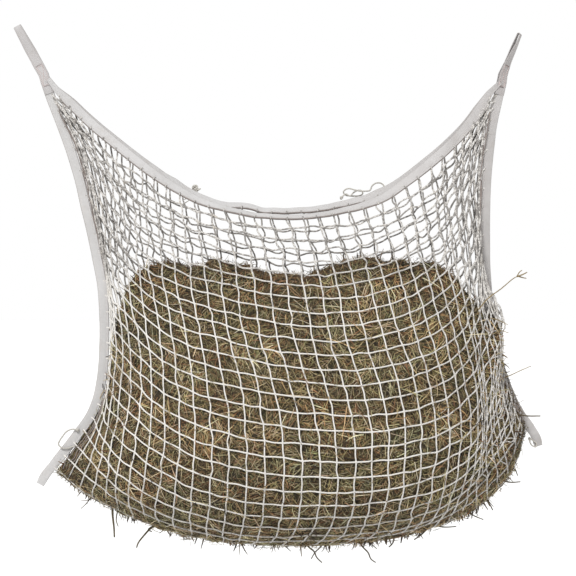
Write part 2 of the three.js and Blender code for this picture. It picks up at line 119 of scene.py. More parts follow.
def tubes(soup, path, radius, sides=6, flat=1.0, seed=None, colour=None, along=None, ends=True):
    """Closed tubes along m polylines of n points each, all at once. flat squeezes the section."""
    path = np.asarray(path, float)
    if path.ndim == 2:
        path = path[None]
    m, n, _ = path.shape
    radius = np.broadcast_to(np.asarray(radius, float), (m, n))
    flat = np.broadcast_to(np.asarray(flat, float), (m,))
    t = np.empty_like(path)
    t[:, 1:-1] = path[:, 2:] - path[:, :-2]
    t[:, 0], t[:, -1] = path[:, 1] - path[:, 0], path[:, -1] - path[:, -2]
    t = unit(t)
    if seed is None:
        seed = np.broadcast_to(np.array([0.05, -1.0, 0.11]), (m, 3))
    side = np.empty_like(path)
    s = np.asarray(seed, float)
    for i in range(n):
        s = s - (s * t[:, i]).sum(-1, keepdims=True) * t[:, i]
        bad = np.linalg.norm(s, axis=-1) < 1e-6
        if bad.any():
            s[bad] = np.cross(t[bad, i], np.array([0.3, 0.2, 0.93]))
        s = unit(s)
        side[:, i] = s
    up = np.cross(t, side)
    a = 2 * np.pi * np.arange(sides) / sides
    v = (path[:, :, None] + side[:, :, None] * (np.cos(a) * 1.0)[None, None, :, None] * radius[:, :, None, None] * flat[:, None, None, None]
         + up[:, :, None] * np.sin(a)[None, None, :, None] * radius[:, :, None, None])
    base = np.arange(m)[:, None, None] * n * sides + np.arange(n - 1)[None, :, None] * sides
    j = np.arange(sides)[None, None]
    j2 = (j + 1) % sides
    quads = np.stack([base + j, base + j2, base + sides + j2, base + sides + j], -1).reshape(-1, 4)
    if along is None:
        step = np.linalg.norm(np.diff(path, axis=1), axis=-1)
        along = np.concatenate([np.zeros((m, 1)), np.cumsum(step, 1)], 1)
    u0 = np.broadcast_to(along[:, :-1, None], (m, n - 1, sides))
    u1 = np.broadcast_to(along[:, 1:, None], (m, n - 1, sides))
    v0 = np.broadcast_to(j / sides, (m, n - 1, sides))
    v1 = np.broadcast_to((j + 1) / sides, (m, n - 1, sides))
    uv = np.stack([np.stack([u0, v0], -1), np.stack([u0, v1], -1), np.stack([u1, v1], -1), np.stack([u1, v0], -1)], -2)
    polys, uvs = [quads], [uv]
    if ends:
        first = np.arange(m)[:, None] * n * sides + np.arange(sides)[None, ::-1]
        last = np.arange(m)[:, None] * n * sides + (n - 1) * sides + np.arange(sides)[None]
        caps = np.concatenate([first, last])
        polys.append(caps)
        uvs.append(np.zeros((len(caps), sides, 2)))
    if colour is not None:
        colour = np.asarray(colour, float)
        if colour.ndim == 2 and len(colour) == m:
            colour = np.repeat(colour, n * sides, axis=0)
        elif colour.ndim == 3:
            colour = np.repeat(colour.reshape(m * n, 3), sides, axis=0)
    soup.add(v, polys, uvs, colour)


BALL_RINGS, BALL_SIDES = 4, 6


def balls(soup, centre, axes, colour=None):
    """Small closed lumps: centre (m,3), axes (m,3,3) half axes as rows."""
    m = len(centre)
    pts = [[0, 0, 1.0]]
    for i in range(1, BALL_RINGS):
        f = math.pi * i / BALL_RINGS
        for j in range(BALL_SIDES):
            g = 2 * math.pi * (j + 0.5 * (i % 2)) / BALL_SIDES
            pts.append([math.sin(f) * math.cos(g), math.sin(f) * math.sin(g), math.cos(f)])
    pts.append([0, 0, -1.0])
    pts = np.array(pts)
    k = len(pts)
    v = centre[:, None] + np.einsum("ka,mab->mkb", pts, axes)
    tri, quad = [], []
    for j in range(BALL_SIDES):
        tri.append([0, 1 + j, 1 + (j + 1) % BALL_SIDES])
        for i in range(BALL_RINGS - 2):
            a, b = 1 + i * BALL_SIDES, 1 + (i + 1) * BALL_SIDES
            quad.append([a + j, b + j, b + (j + 1) % BALL_SIDES, a + (j + 1) % BALL_SIDES])
        e = 1 + (BALL_RINGS - 2) * BALL_SIDES
        tri.append([k - 1, e + (j + 1) % BALL_SIDES, e + j])
    tri, quad = np.array(tri), np.array(quad)
    off = np.arange(m)[:, None, None] * k
    t, q = (tri[None] + off).reshape(-1, 3), (quad[None] + off).reshape(-1, 4)
    uvp = np.stack([np.arctan2(pts[:, 1], pts[:, 0]) / 6.3 + 0.5, pts[:, 2] * 0.003], -1)
    soup.add(v, [t, q], [np.tile(uvp[tri][:, :, ::-1], (m, 1, 1)), np.tile(uvp[quad][:, :, ::-1], (m, 1, 1))],
             None if colour is None else np.repeat(colour, k, axis=0))


def centripetal(points, per=30):
    """The smooth curve through the points, as the solids use it; extra columns are carried linearly."""
    P = np.array([p[:3] for p in points], float)
    extra = np.array([p[3] if len(p) > 3 else 0.0 for p in points])
    out, ex = [], []
    f = np.linspace(0, 1, per, endpoint=False)[:, None]
    for i in range(len(P) - 1):
        p1, p2 = P[i], P[i + 1]
        p0 = P[i - 1] if i else 2 * P[0] - P[1]
        p3 = P[i + 2] if i + 2 < len(P) else 2 * P[-1] - P[-2]
        d0, d1, d2 = (max(np.linalg.norm(b - a) ** 0.5, 1e-4) for a, b in ((p0, p1), (p1, p2), (p2, p3)))
        t1 = ((p1 - p0) / d0 - (p2 - p0) / (d0 + d1) + (p2 - p1) / d1) * d1
        t2 = ((p2 - p1) / d1 - (p3 - p1) / (d1 + d2) + (p3 - p2) / d2) * d1
        out.append(p1 + t1 * f + (-3 * p1 + 3 * p2 - 2 * t1 - t2) * f**2 + (2 * p1 - 2 * p2 + t1 + t2) * f**3)
        ex.append(extra[i] + (extra[i + 1] - extra[i]) * f[:, 0])
    out.append(P[-1:])
    ex.append(extra[-1:])
    return np.concatenate(out), np.concatenate(ex)


def resample(line, step=None, count=None, extra=None, start=0.0, stop=None):
    seg = np.linalg.norm(np.diff(line, axis=0), axis=1)
    s = np.concatenate([[0], np.cumsum(seg)])
    stop = s[-1] if stop is None else stop
    n = count or max(2, int(round((stop - start) / step)) + 1)
    q = np.linspace(start, stop, n)
    pts = np.stack([np.interp(q, s, line[:, k]) for k in range(3)], -1)
    if extra is None:
        return pts, q
    return pts, q, np.interp(q, s, extra)


# smooth value noise on a lattice, the same on every run
_table = rng.random((64, 64, 64))


def noise(p, scale, octaves=3):
    p = np.asarray(p, float) / scale
    out, amp, total = np.zeros(p.shape[:-1]), 1.0, 0.0
    for _ in range(octaves):
        i = np.floor(p).astype(int)
        f = p - i
        f = f * f * (3 - 2 * f)
        i %= 64
        j = (i + 1) % 64
        x0, y0, z0, x1, y1, z1 = i[..., 0], i[..., 1], i[..., 2], j[..., 0], j[..., 1], j[..., 2]
        fx, fy, fz = f[..., 0], f[..., 1], f[..., 2]
        a = _table[x0, y0, z0] * (1 - fx) + _table[x1, y0, z0] * fx
        b = _table[x0, y1, z0] * (1 - fx) + _table[x1, y1, z0] * fx
        c = _table[x0, y0, z1] * (1 - fx) + _table[x1, y0, z1] * fx
        d = _table[x0, y1, z1] * (1 - fx) + _table[x1, y1, z1] * fx
        out += amp * ((a * (1 - fy) + b * fy) * (1 - fz) + (c * (1 - fy) + d * fy) * fz - 0.5) * 2
        total += amp
        amp *= 0.5
        p = p * 2.03 + 17.3
    return out / total


# ---------------------------------------------------------------------------
# materials
# ---------------------------------------------------------------------------
class Nodes:
    def __init__(self, name):
        self.m = bpy.data.materials.new(name)
        self.m.use_nodes = True
        self.t = self.m.node_tree
        self.bsdf = self.t.nodes["Principled BSDF"]

    def add(self, kind, inputs=None, **props):
        n = self.t.nodes.new(kind)
        for k, v in props.items():
            setattr(n, k, v)
        for k, v in (inputs or {}).items():
            self.put(n.inputs[k], v)
        return n

    def put(self, socket, v):
        if isinstance(v, bpy.types.NodeSocket):
            self.t.links.new(v, socket)
        else:
            socket.default_value = v

    def math(self, op, a, b=0.0, c=0.0):
        n = self.add("ShaderNodeMath", operation=op)
        for s, v in zip(n.inputs, (a, b, c)):
            self.put(s, v)
        return n.outputs[0]

    def mix(self, factor, a, b, blend="MIX"):
        n = self.add("ShaderNodeMix", data_type="RGBA", blend_type=blend)
        self.put(n.inputs[0], factor)
        self.put(n.inputs[6], a)
        self.put(n.inputs[7], b)
        return n.outputs[2]

    def ramp(self, factor, stops):
        n = self.add("ShaderNodeValToRGB", {"Fac": factor})
        r = n.color_ramp
        while len(r.elements) < len(stops):
            r.elements.new(0.5)
        for e, (pos, colour) in zip(r.elements, stops):
            e.position = pos
            e.color = (*colour, 1) if len(colour) == 3 else colour
        return n.outputs[0]

    def noise(self, scale, detail=3.0, rough=0.55, vector=None, kind="Fac"):
        n = self.add("ShaderNodeTexNoise", {"Scale": scale, "Detail": detail, "Roughness": rough})
        self.put(n.inputs["Vector"], vector if vector is not None else self.coord())
        return n.outputs[kind]

    def coord(self):
        return self.add("ShaderNodeTexCoord").outputs["Object"]

    def uv(self):
        s = self.add("ShaderNodeSeparateXYZ", {"Vector": self.add("ShaderNodeUVMap", uv_map="weave").outputs["UV"]})
        return s.outputs[0], s.outputs[1]

    def bump(self, height, distance, strength=1.0, normal=None):
        n = self.add("ShaderNodeBump", {"Height": height, "Distance": distance, "Strength": strength})
        if normal is not None:
            self.put(n.inputs["Normal"], normal)
        return n.outputs["Normal"]


TAU = 2 * math.pi


def webbing_material(name, light, dark, rib=0.0020, pick=0.0017):
    """Flat woven tape: ribs along it, picks across it, painted shade in the hollows of the weave, soiled outer edges,
    and painted shade darkening it towards the right-hand side.
    """
    k = Nodes(name)
    u, v = k.uv()
    ribs = k.math("SINE", k.math("MULTIPLY", v, TAU / rib))
    half = k.math("MULTIPLY", k.math("SIGN", ribs), 0.25)
    picks = k.math("SINE", k.math("ADD", k.math("MULTIPLY", u, TAU / pick), k.math("MULTIPLY", half, TAU)))
    weave = k.math("MULTIPLY_ADD", k.math("MULTIPLY", k.math("ABSOLUTE", ribs), k.math("ADD", picks, 1.0)), 0.5, 0.0)
    large = k.noise(9.0, 4.0, 0.6)
    fine = k.noise(420.0, 2.0)
    # painted shade: the weave term makes the hollows of the weave darker in colour
    tone = k.math("ADD", k.math("MULTIPLY", large, 0.85), k.math("MULTIPLY", weave, 0.15))
    colour = k.ramp(tone, [(0.22, dark), (0.72, light)])
    stain = k.ramp(k.noise(26.0, 5.0, 0.65), [(0.52, (1, 1, 1)), (0.78, (0.88, 0.845, 0.81))])
    colour = k.mix(1.0, colour, stain, "MULTIPLY")
    colour = k.mix(0.22, colour, k.ramp(fine, [(0.3, dark), (0.7, light)]))
    darkening = k.add("ShaderNodeAttribute", attribute_name="darkening").outputs["Fac"]
    # painted shade: from x 0.05 m to 0.50 m the tape is painted darker towards the right-hand side; darkening also
    # holds the soiled outer edges of the tape
    side = k.add("ShaderNodeSeparateXYZ", {"Vector": k.coord()}).outputs[0]
    right_side_shade = k.add("ShaderNodeMapRange", {"Value": side, "From Min": 0.05, "From Max": 0.50, "To Max": 0.75}).outputs[0]
    darkening = k.math("MAXIMUM", darkening, k.math("MULTIPLY", right_side_shade, k.math("MULTIPLY_ADD", k.noise(14.0, 4.0), 0.9, 0.35)))
    darkening = k.math("MULTIPLY", darkening, k.math("MULTIPLY_ADD", k.noise(45.0, 3.0), 0.8, 0.35))
    k.put(k.bsdf.inputs["Base Color"], k.mix(darkening, colour, k.mix(1.0, colour, (0.66, 0.62, 0.60, 1), "MULTIPLY")))
    k.put(k.bsdf.inputs["Roughness"], k.math("MULTIPLY_ADD", fine, 0.25, 0.68))
    k.bsdf.inputs["Sheen Weight"].default_value = 0.25
    k.bsdf.inputs["Sheen Roughness"].default_value = 0.5
    rough = k.bump(fine, 0.0002, 0.4)
    k.put(k.bsdf.inputs["Normal"], k.bump(weave, 0.0003, 0.8, rough))
    return k.m


def braid_material(name, light, dark, lay=0.0085, strands=2.0, painted_shade_grey=None):
    """Thin braided cord: two sets of strands crossing round it, with fluff and a little hay dust, and painted shade in
    the grooves. The part above the hay and the right-hand side are painted greyer as painted shade, with painted shadow
    specks; it is also greyer towards the bottom.
    """
    k = Nodes(name)
    u, v = k.uv()
    turn = k.math("MULTIPLY", v, TAU * strands)
    run = k.math("MULTIPLY", u, TAU / lay)
    one = k.math("SINE", k.math("ADD", run, turn))
    two = k.math("SINE", k.math("SUBTRACT", run, turn))
    braid = k.math("MULTIPLY_ADD", k.math("MAXIMUM", one, two), 0.5, 0.5)
    large = k.noise(7.0, 4.0, 0.62)
    dust = k.noise(38.0, 4.0, 0.6)
    fine = k.noise(900.0, 2.0)
    # painted shade: the braid term darkens the grooves between the strands
    colour = k.ramp(k.math("ADD", k.math("MULTIPLY", large, 0.55), k.math("MULTIPLY", braid, 0.42)), [(0.2, dark), (0.75, light)])
    colour = k.mix(1.0, colour, k.ramp(dust, [(0.55, (1, 1, 1)), (0.8, (0.9, 0.85, 0.76))]), "MULTIPLY")
    if painted_shade_grey:
        # painted shade: above the hay and towards the right-hand side the cord is painted greyer, with dark specks
        # painted as the shadows between twisted strands; it is also greyer towards the bottom
        height = k.add("ShaderNodeSeparateXYZ", {"Vector": k.coord()}).outputs[2]
        grey = k.add("ShaderNodeMapRange", {"Value": height, "From Min": -0.67, "From Max": -0.56}).outputs[0]
        across = k.add("ShaderNodeSeparateXYZ", {"Vector": k.coord()}).outputs[0]
        right_side_net_shade = k.add("ShaderNodeMapRange", {"Value": across, "From Min": 0.26, "From Max": 0.54, "To Max": 0.85}).outputs[0]
        under = k.add("ShaderNodeMapRange", {"Value": height, "From Min": -1.08, "From Max": -1.24, "To Max": 0.55}).outputs[0]
        grey = k.math("MAXIMUM", k.math("MAXIMUM", grey, right_side_net_shade), under)
        shadow_blotch = k.ramp(k.noise(95.0, 3.0, 0.6), [(0.42, (0.26, 0.245, 0.24)), (0.55, (1, 1, 1))])
        shadow_flecks = k.ramp(k.math("MULTIPLY_ADD", k.noise(150.0, 2.0), 0.7, k.math("MULTIPLY", braid, 0.35)), [(0.40, (0.42, 0.40, 0.39)), (0.56, (1.06, 1.06, 1.06))])
        shadow_blotch = k.mix(1.0, shadow_blotch, shadow_flecks, "MULTIPLY")
        colour = k.mix(grey, colour, k.mix(1.0, k.mix(1.0, colour, (*painted_shade_grey, 1), "MULTIPLY"), shadow_blotch, "MULTIPLY"))
    k.put(k.bsdf.inputs["Base Color"], k.mix(0.18, colour, k.ramp(fine, [(0.3, dark), (0.7, light)])))
    k.put(k.bsdf.inputs["Roughness"], k.math("MULTIPLY_ADD", fine, 0.2, 0.7))
    k.bsdf.inputs["Sheen Weight"].default_value = 0.2
    k.put(k.bsdf.inputs["Normal"], k.bump(braid, 0.0007, 0.9))
    return k.m


def thread_material(name, light, dark):
    k = Nodes(name)
    u, v = k.uv()
    ply = k.math("SINE", k.math("ADD", k.math("MULTIPLY", u, TAU / 0.0009), k.math("MULTIPLY", v, TAU)))
    tone = k.noise(60.0, 3.0)
    # painted shade: the ply term darkens the grooves between the plies
    k.put(k.bsdf.inputs["Base Color"], k.ramp(k.math("MULTIPLY_ADD", ply, 0.15, tone), [(0.25, dark), (0.75, light)]))
    k.put(k.bsdf.inputs["Roughness"], k.math("MULTIPLY_ADD", tone, 0.3, 0.45))
    k.put(k.bsdf.inputs["Normal"], k.bump(ply, 0.0002, 0.7))
    return k.m


def stalk_material(name, shade, glow):
    """Dry stalks and blades: own colour per stalk, streaked along its length, with paler nodes."""
    k = Nodes(name)
    tint = k.add("ShaderNodeAttribute", attribute_name="tint").outputs["Color"]
    u, v = k.uv()
    stretch = k.add("ShaderNodeCombineXYZ", {"X": k.math("MULTIPLY", u, 60.0), "Y": k.math("MULTIPLY", v, 9.0), "Z": 0.0}).outputs[0]
    streak = k.noise(1.0, 3.0, 0.6, vector=stretch)
    spots = k.noise(160.0, 3.0, 0.6)
    colour = k.mix(1.0, tint, k.ramp(streak, [(0.3, shade), (0.7, glow)]), "MULTIPLY")
    colour = k.mix(1.0, colour, k.ramp(spots, [(0.35, (0.72, 0.66, 0.58)), (0.6, (1, 1, 1))]), "MULTIPLY")
    k.put(k.bsdf.inputs["Base Color"], colour)
    k.put(k.bsdf.inputs["Roughness"], k.math("MULTIPLY_ADD", streak, 0.35, 0.5))
    k.put(k.bsdf.inputs["Normal"], k.bump(streak, 0.0004, 0.6))
    return k.m


def hay_core_material(name):
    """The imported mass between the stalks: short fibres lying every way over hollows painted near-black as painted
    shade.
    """
    k = Nodes(name)
    co = k.coord()
    swirl = k.add("ShaderNodeTexNoise", {"Vector": co, "Scale": 34.0, "Detail": 2.0}).outputs["Color"]
    co = k.add("ShaderNodeVectorMath", {0: co, 1: k.mix(1.0, swirl, (0.035, 0.035, 0.035, 1), "MULTIPLY")}, operation="ADD").outputs[0]
    layers = []
    for angle, long, fine in ((0.35, 62, 520), (1.35, 75, 470), (-0.7, 55, 560), (2.25, 68, 500)):
        r = k.add("ShaderNodeMapping", {"Vector": co, "Rotation": (0.2, angle, 0.15), "Scale": (1 / long, 1 / long, 1 / fine)}, vector_type="TEXTURE").outputs[0]
        layers.append(k.noise(1.0, 3.0, 0.6, vector=r))
    fibre = k.math("MAXIMUM", k.math("MAXIMUM", layers[0], layers[1]), k.math("MAXIMUM", layers[2], layers[3]))
    patch = k.noise(16.0, 4.0, 0.6)
    # painted shade: between the fibres the mass is painted near-black
    colour = k.ramp(fibre, [(0.50, (0.009, 0.007, 0.004)), (0.61, (0.055, 0.040, 0.020)), (0.74, (0.19, 0.145, 0.075))])
    colour = k.mix(1.0, colour, k.ramp(patch, [(0.35, (1.0, 0.78, 0.58)), (0.5, (1.0, 0.97, 0.85)), (0.65, (0.82, 0.95, 0.68))]), "MULTIPLY")
    k.put(k.bsdf.inputs["Base Color"], colour)
    k.bsdf.inputs["Roughness"].default_value = 0.92
    k.put(k.bsdf.inputs["Normal"], k.bump(fibre, 0.004, 0.9))
    return k.m


WEBBING = webbing_material("webbing_weave", (0.545, 0.535, 0.532), (0.40, 0.39, 0.382))
LOOP_WEB = webbing_material("webbing_loop_weave", (0.49, 0.472, 0.468), (0.36, 0.346, 0.342), rib=0.0024, pick=0.0019)
NETTING = braid_material("netting_braid", (0.74, 0.715, 0.675), (0.44, 0.42, 0.39), painted_shade_grey=(0.79, 0.785, 0.79))
TIE = braid_material("tie_cord_braid", (0.50, 0.48, 0.44), (0.30, 0.28, 0.25), lay=0.006)
# dark brown cord colour: painted shade, for the shadow line under the mouth binding and the shaded selvage cords
SHADOW_CORD = braid_material("shadow_cord_braid", (0.26, 0.215, 0.195), (0.12, 0.10, 0.09), lay=0.005)
THREAD = thread_material("stitch_thread", (0.66, 0.62, 0.60), (0.45, 0.41, 0.39))
TACK = thread_material("bartack_thread", (0.76, 0.63, 0.60), (0.60, 0.48, 0.46))
CORE = hay_core_material("hay_mass")


# ---------------------------------------------------------------------------
# the route of the net and its webbing, in millimetres, as the solids have it
# ---------------------------------------------------------------------------
# front netting: points every 2.5 columns and every 2 rows
FRONT = np.array([
    [[-566, 0, -136], [-496, -11, -207], [-424, -17, -274], [-347, -22, -337], [-268, -28, -395], [-179, -34, -436], [-84, -37, -459], [12, -39, -475], [110, -39, -470], [206, -36, -452], [296, -30, -415], [377, -23, -360], [449, -16, -292], [508, -11, -213], [563, -3, -132]],
    [[-537, 0, -209], [-475, -10, -276], [-412, -16, -340], [-341, -23, -398], [-260, -30, -448], [-169, -38, -486], [-71, -47, -512], [29, -52, -525], [128, -52, -524], [223, -44, -507], [310, -33, -472], [386, -24, -419], [449, -16, -355], [501, -9, -279], [545, -3, -204]],
    [[-502, 0, -280], [-456, -9, -344], [-401, -16, -405], [-334, -25, -459], [-253, -37, -505], [-159, -53, -540], [-57, -68, -566], [44, -77, -579], [144, -76, -580], [240, -63, -564], [325, -44, -530], [396, -27, -481], [453, -17, -418], [497, -9, -346], [532, -3, -271]],
    [[-479, 0, -355], [-441, -9, -411], [-393, -17, -468], [-328, -32, -523], [-246, -56, -568], [-150, -81, -599], [-47, -102, -623], [55, -114, -639], [157, -114, -641], [255, -95, -624], [341, -66, -592], [409, -37, -544], [460, -18, -484], [495, -9, -414], [524, -3, -339]],
    [[-461, 0, -432], [-431, -9, -476], [-387, -22, -531], [-321, -50, -590], [-237, -89, -637], [-142, -120, -664], [-43, -145, -689], [63, -156, -704], [167, -154, -706], [267, -134, -689], [356, -98, -657], [423, -57, -611], [469, -25, -553], [503, -10, -484], [520, -3, -407]],
    [[-443, 0, -509], [-423, -9, -541], [-384, -29, -591], [-309, -77, -662], [-222, -126, -708], [-129, -158, -734], [-33, -178, -757], [74, -188, -771], [180, -185, -772], [284, -165, -756], [373, -126, -725], [438, -81, -681], [480, -39, -626], [511, -22, -557], [518, -1, -476]],
    [[-425, 0, -586], [-413, -8, -615], [-377, -40, -660], [-296, -106, -737], [-208, -155, -782], [-112, -188, -807], [-14, -207, -827], [92, -214, -840], [201, -210, -842], [307, -188, -826], [394, -151, -799], [455, -105, -760], [493, -54, -701], [518, -22, -630], [519, 5, -544]],
    [[-413, 0, -664], [-401, -18, -700], [-357, -69, -753], [-285, -130, -813], [-197, -181, -857], [-96, -214, -882], [7, -231, -900], [113, -235, -911], [221, -230, -915], [325, -207, -902], [412, -167, -873], [470, -123, -829], [506, -78, -776], [528, -29, -703], [520, 15, -612]],
    [[-408, 0, -743], [-398, -23, -784], [-349, -89, -834], [-279, -152, -890], [-188, -206, -933], [-85, -237, -959], [19, -251, -975], [127, -253, -985], [234, -248, -988], [334, -226, -976], [423, -186, -949], [485, -135, -904], [516, -95, -849], [546, -58, -776], [526, 28, -679]],
    [[-410, 0, -821], [-402, -30, -862], [-351, -106, -910], [-276, -179, -966], [-185, -230, -1009], [-82, -253, -1036], [26, -261, -1052], [132, -261, -1059], [237, -254, -1059], [334, -238, -1046], [424, -208, -1022], [489, -162, -980], [520, -114, -923], [542, -79, -848], [533, 40, -747]],
    [[-421, 0, -900], [-409, -50, -938], [-359, -136, -985], [-280, -201, -1038], [-189, -230, -1084], [-84, -240, -1114], [26, -240, -1130], [133, -239, -1131], [235, -228, -1130], [331, -218, -1116], [416, -202, -1091], [482, -179, -1049], [517, -147, -996], [540, -94, -918], [547, 41, -815]],
    [[-449, 0, -972], [-420, -93, -1011], [-372, -149, -1060], [-291, -181, -1113], [-196, -194, -1156], [-90, -196, -1186], [19, -192, -1199], [125, -193, -1198], [227, -182, -1194], [322, -176, -1179], [407, -171, -1154], [472, -166, -1112], [515, -152, -1057], [550, -111, -980], [568, 32, -879]],
    [[-496, 0, -1036], [-438, -97, -1080], [-382, -122, -1131], [-304, -131, -1180], [-202, -135, -1218], [-98, -129, -1244], [6, -125, -1252], [108, -130, -1249], [211, -115, -1246], [310, -103, -1235], [392, -121, -1207], [460, -134, -1164], [519, -129, -1109], [566, -107, -1037], [594, 13, -938]],
    [[-544, 0, -1099], [-466, -22, -1154], [-384, -31, -1199], [-296, -36, -1235], [-203, -39, -1261], [-108, -41, -1276], [-13, -42, -1281], [82, -42, -1282], [180, -42, -1278], [275, -41, -1266], [364, -40, -1246], [452, -46, -1216], [531, -32, -1167], [593, -33, -1096], [630, -1, -992]],
], float)
LEFT_SIDE = [
    [-573.8, 0, -131.2], [-553.8, 0, -186.2], [-532.5, 0, -241.2], [-508.8, 0, -306.2], [-488.8, 0, -366.2],
    [-472.5, 0, -431.2], [-453.8, 0, -506.2], [-437.5, 0, -576.2], [-426.2, 0, -638.8], [-421.2, 0, -701.2],
    [-419.8, 0, -763.8], [-422.2, 0, -831.2], [-428.8, 0, -886.2], [-438.8, 0, -928.8], [-456.2, 0, -968.8],
    [-481.2, 0, -1003.8], [-512.5, 0, -1045], [-546.2, 0, -1087.5], [-568.8, 0, -1116.2], [-580.5, 0, -1137.5],
]
RIGHT_SIDE = [
    [570.5, 0, -131], [558, 0, -188.8], [547, 0, -238.8], [539.2, 0, -301.2], [533, 0, -363.8],
    [530, 0, -426.2], [529.5, 4, -503.6], [531.5, 16, -588.6], [537.5, 29, -651.3], [544.1, 40, -706.7],
    [552.2, 49, -764.8], [566.3, 50, -827.8], [583.4, 40, -882.8], [600, 24, -927.4], [617.7, 10, -961.8],
    [639.7, 3, -992.6], [655.5, 0, -1017.5], [663.2, 0, -1041.2],
]
TOP_FRONT = [
    [-543.2, -6, -149, 0], [-505.5, -8, -185.4, 4], [-452.7, -11.5, -236.9, 10], [-389.9, -16, -289.9, 16], [-322.2, -22, -343.8, 24],
    [-252.1, -28, -391.4, 36], [-187.3, -33, -427.7, 48], [-117.6, -37, -450.2, 58], [-48.1, -40, -464, 62], [28.8, -41, -470.2, 62],
    [95.8, -40, -466.4, 60], [165.3, -38, -456.5, 56], [229.9, -35, -439, 46], [284.7, -31, -415.2, 34], [339.7, -26, -375.2, 24],
    [389.8, -20, -335, 16], [435.1, -15, -294.8, 12], [477.8, -11, -249.6, 8], [515.6, -8, -197.4, 4], [540.5, -6, -158, 0],
]
TOP_REAR = [
    [-543.2, 6, -149, 0], [-507, 8, -181.3, 4], [-454.8, 11.5, -230.1, 10], [-392.6, 16, -281.3, 16], [-325.3, 22, -332.4, 24],
    [-255.4, 28, -378.5, 36], [-190.2, 33, -413.5, 48], [-119.9, 37, -434.7, 58], [-49.4, 40, -445.9, 62], [28.7, 41, -449.7, 62],
    [96.7, 40, -445.9, 60], [167.2, 38, -438.4, 56], [232.6, 35, -422.2, 46], [287.8, 31, -398.5, 34], [342.8, 26, -361, 24],
    [392.7, 20, -322.5, 16], [437.4, 15, -283.9, 12], [479.7, 11, -240.4, 8], [516.5, 8, -192.6, 4], [540.5, 6, -158, 0],
]
TIE_CORD_TOP = [
    [171, 44, -418], [182, 46, -409], [192, 47, -414], [203, 48, -404.5], [214, 48, -399.5], [223, 49, -401.5],
    [224.5, 51, -408.5], [216, 52, -413.5], [205, 53, -414], [192, 53, -413.5], [182, 52, -411.5], [176, 50, -404.5],
    [181, 47, -398], [190, 42, -395.5],
    [204, 40, -399], [218, 40, -402], [232, 41, -402], [243, 41, -400], [248, 41, -389], [258, 41, -382],
    [268, 41, -381.5], [276, 40, -386], [279, 38, -392],
]
TIE_KNOT_TOP = [
    [-200, 46, -399], [-205, 48, -394], [-202, 50, -388], [-196, 50, -387], [-192, 48, -391], [-195, 45, -396],
    [-190, 43, -399], [-184, 43, -395],
]
TIE_CORD_LEFT = [
    [-489, -7, -1000], [-504, -7, -999], [-517, -7, -1005], [-527, -7, -1017], [-534, -7, -1028], [-537, -7, -1036],
    [-533, -7, -1042], [-526, -7, -1046], [-514, -7, -1046], [-503, -7, -1043], [-494, -7, -1041],
]
TIE_CORD_RIGHT = [
    [640, -7, -1022], [649, -7, -1027.5], [656, -7, -1034], [655, -7, -1042.5], [647, -7, -1040.5], [641, -8, -1033],
    [639.5, -8, -1024.5],
]
COLUMNS, ROWS = 35, 26
FRONT = FRONT * MM


# ---------------------------------------------------------------------------
# the tie cords
# ---------------------------------------------------------------------------
def tie(name, points, body, far_end, node, radius=0.0019):
    line, _ = centripetal(points)
    line, _ = resample(line * MM, step=0.0022)
    soup = Soup()
    thick = radius * (1 + 0.04 * np.sin(np.arange(len(line)) * 1.9))
    tubes(soup, line, thick[None], sides=10)
    o = soup.mesh(name, TIE)
    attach(o, body)
    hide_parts(node)

    def knot(label, at, size=0.0036):
        """A tight overhand turn of the same cord."""
        a = np.linspace(0, 2 * math.pi * 1.9, 40)
        r = size * (0.62 + 0.3 * np.cos(1.5 * a))
        p = np.stack([r * np.cos(a), size * 0.55 * np.sin(1.5 * a), r * np.sin(a)], -1) + np.asarray(at)
        s = Soup()
        tubes(s, p, radius * 0.86, sides=8)
        q = s.mesh(label, TIE)
        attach(q, body)

    knot(name + "_knot", line[0] + np.array([0, 0.0005, -0.001]))
    if far_end == "knot":
        knot(name + "_end_knot", line[-1], 0.0030)
    return o


tie("tie_cord_top_bow", TIE_CORD_TOP, "rear_edge", "knot", "tie_cord_top")
tie("tie_cord_top_loop", TIE_KNOT_TOP, "rear_edge", "object", "tie_knot_top")
tie("tie_cord_left_loop", TIE_CORD_LEFT, "bag", "object", "tie_cord_left")
tie("tie_cord_right_loop", TIE_CORD_RIGHT, "tail_right", "object", "tie_cord_right")


soup = Soup()
for m, (x, y, z, k) in enumerate(((-200, 47, -393, 1.25), (-193, 47, -398, 1.0), (-196.5, 46, -401, 1.1), (-204, 48, -399, 0.8))):
    a = np.linspace(0, 2 * math.pi * 2.2, 46)
    rr = 0.0043 * k * (0.62 + 0.3 * np.cos(1.5 * a + m))
    tubes(soup, np.stack([rr * np.cos(a + m), 0.003 * k * np.sin(1.5 * a), rr * np.sin(a + m)], -1) + np.array([x, y, z]) * MM, 0.0017, sides=8)
for pts in (((-195, 45, -399), (-203, 38, -407), (-212, 28, -418), (-224, 20, -424)), ((-193, 45, -401), (-199, 36, -414), (-214, 26, -427), (-229, 18, -437))):
    tubes(soup, centripetal(pts, 6)[0] * MM, 0.0013, sides=6)
o = soup.mesh("tie_knot_top_turns", TIE)
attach(o, "rear_edge")


# ---------------------------------------------------------------------------
# the shape of the filled net
# ---------------------------------------------------------------------------
REAR = FRONT.copy()
for _j in range(14):
    _edge = FRONT[_j, 14, 1]
    for _i in range(14):
        x, y, z = FRONT[_j, _i]
        if _i == 13:
            REAR[_j, _i] = (x - 0.004, max(-y, _edge + 0.026), z)
        else:
            REAR[_j, _i] = (x, max(-y, 0.0), z + 0.012 * math.exp(-((_j / 2.2) ** 2)) * math.sin(math.pi * _i / 14))


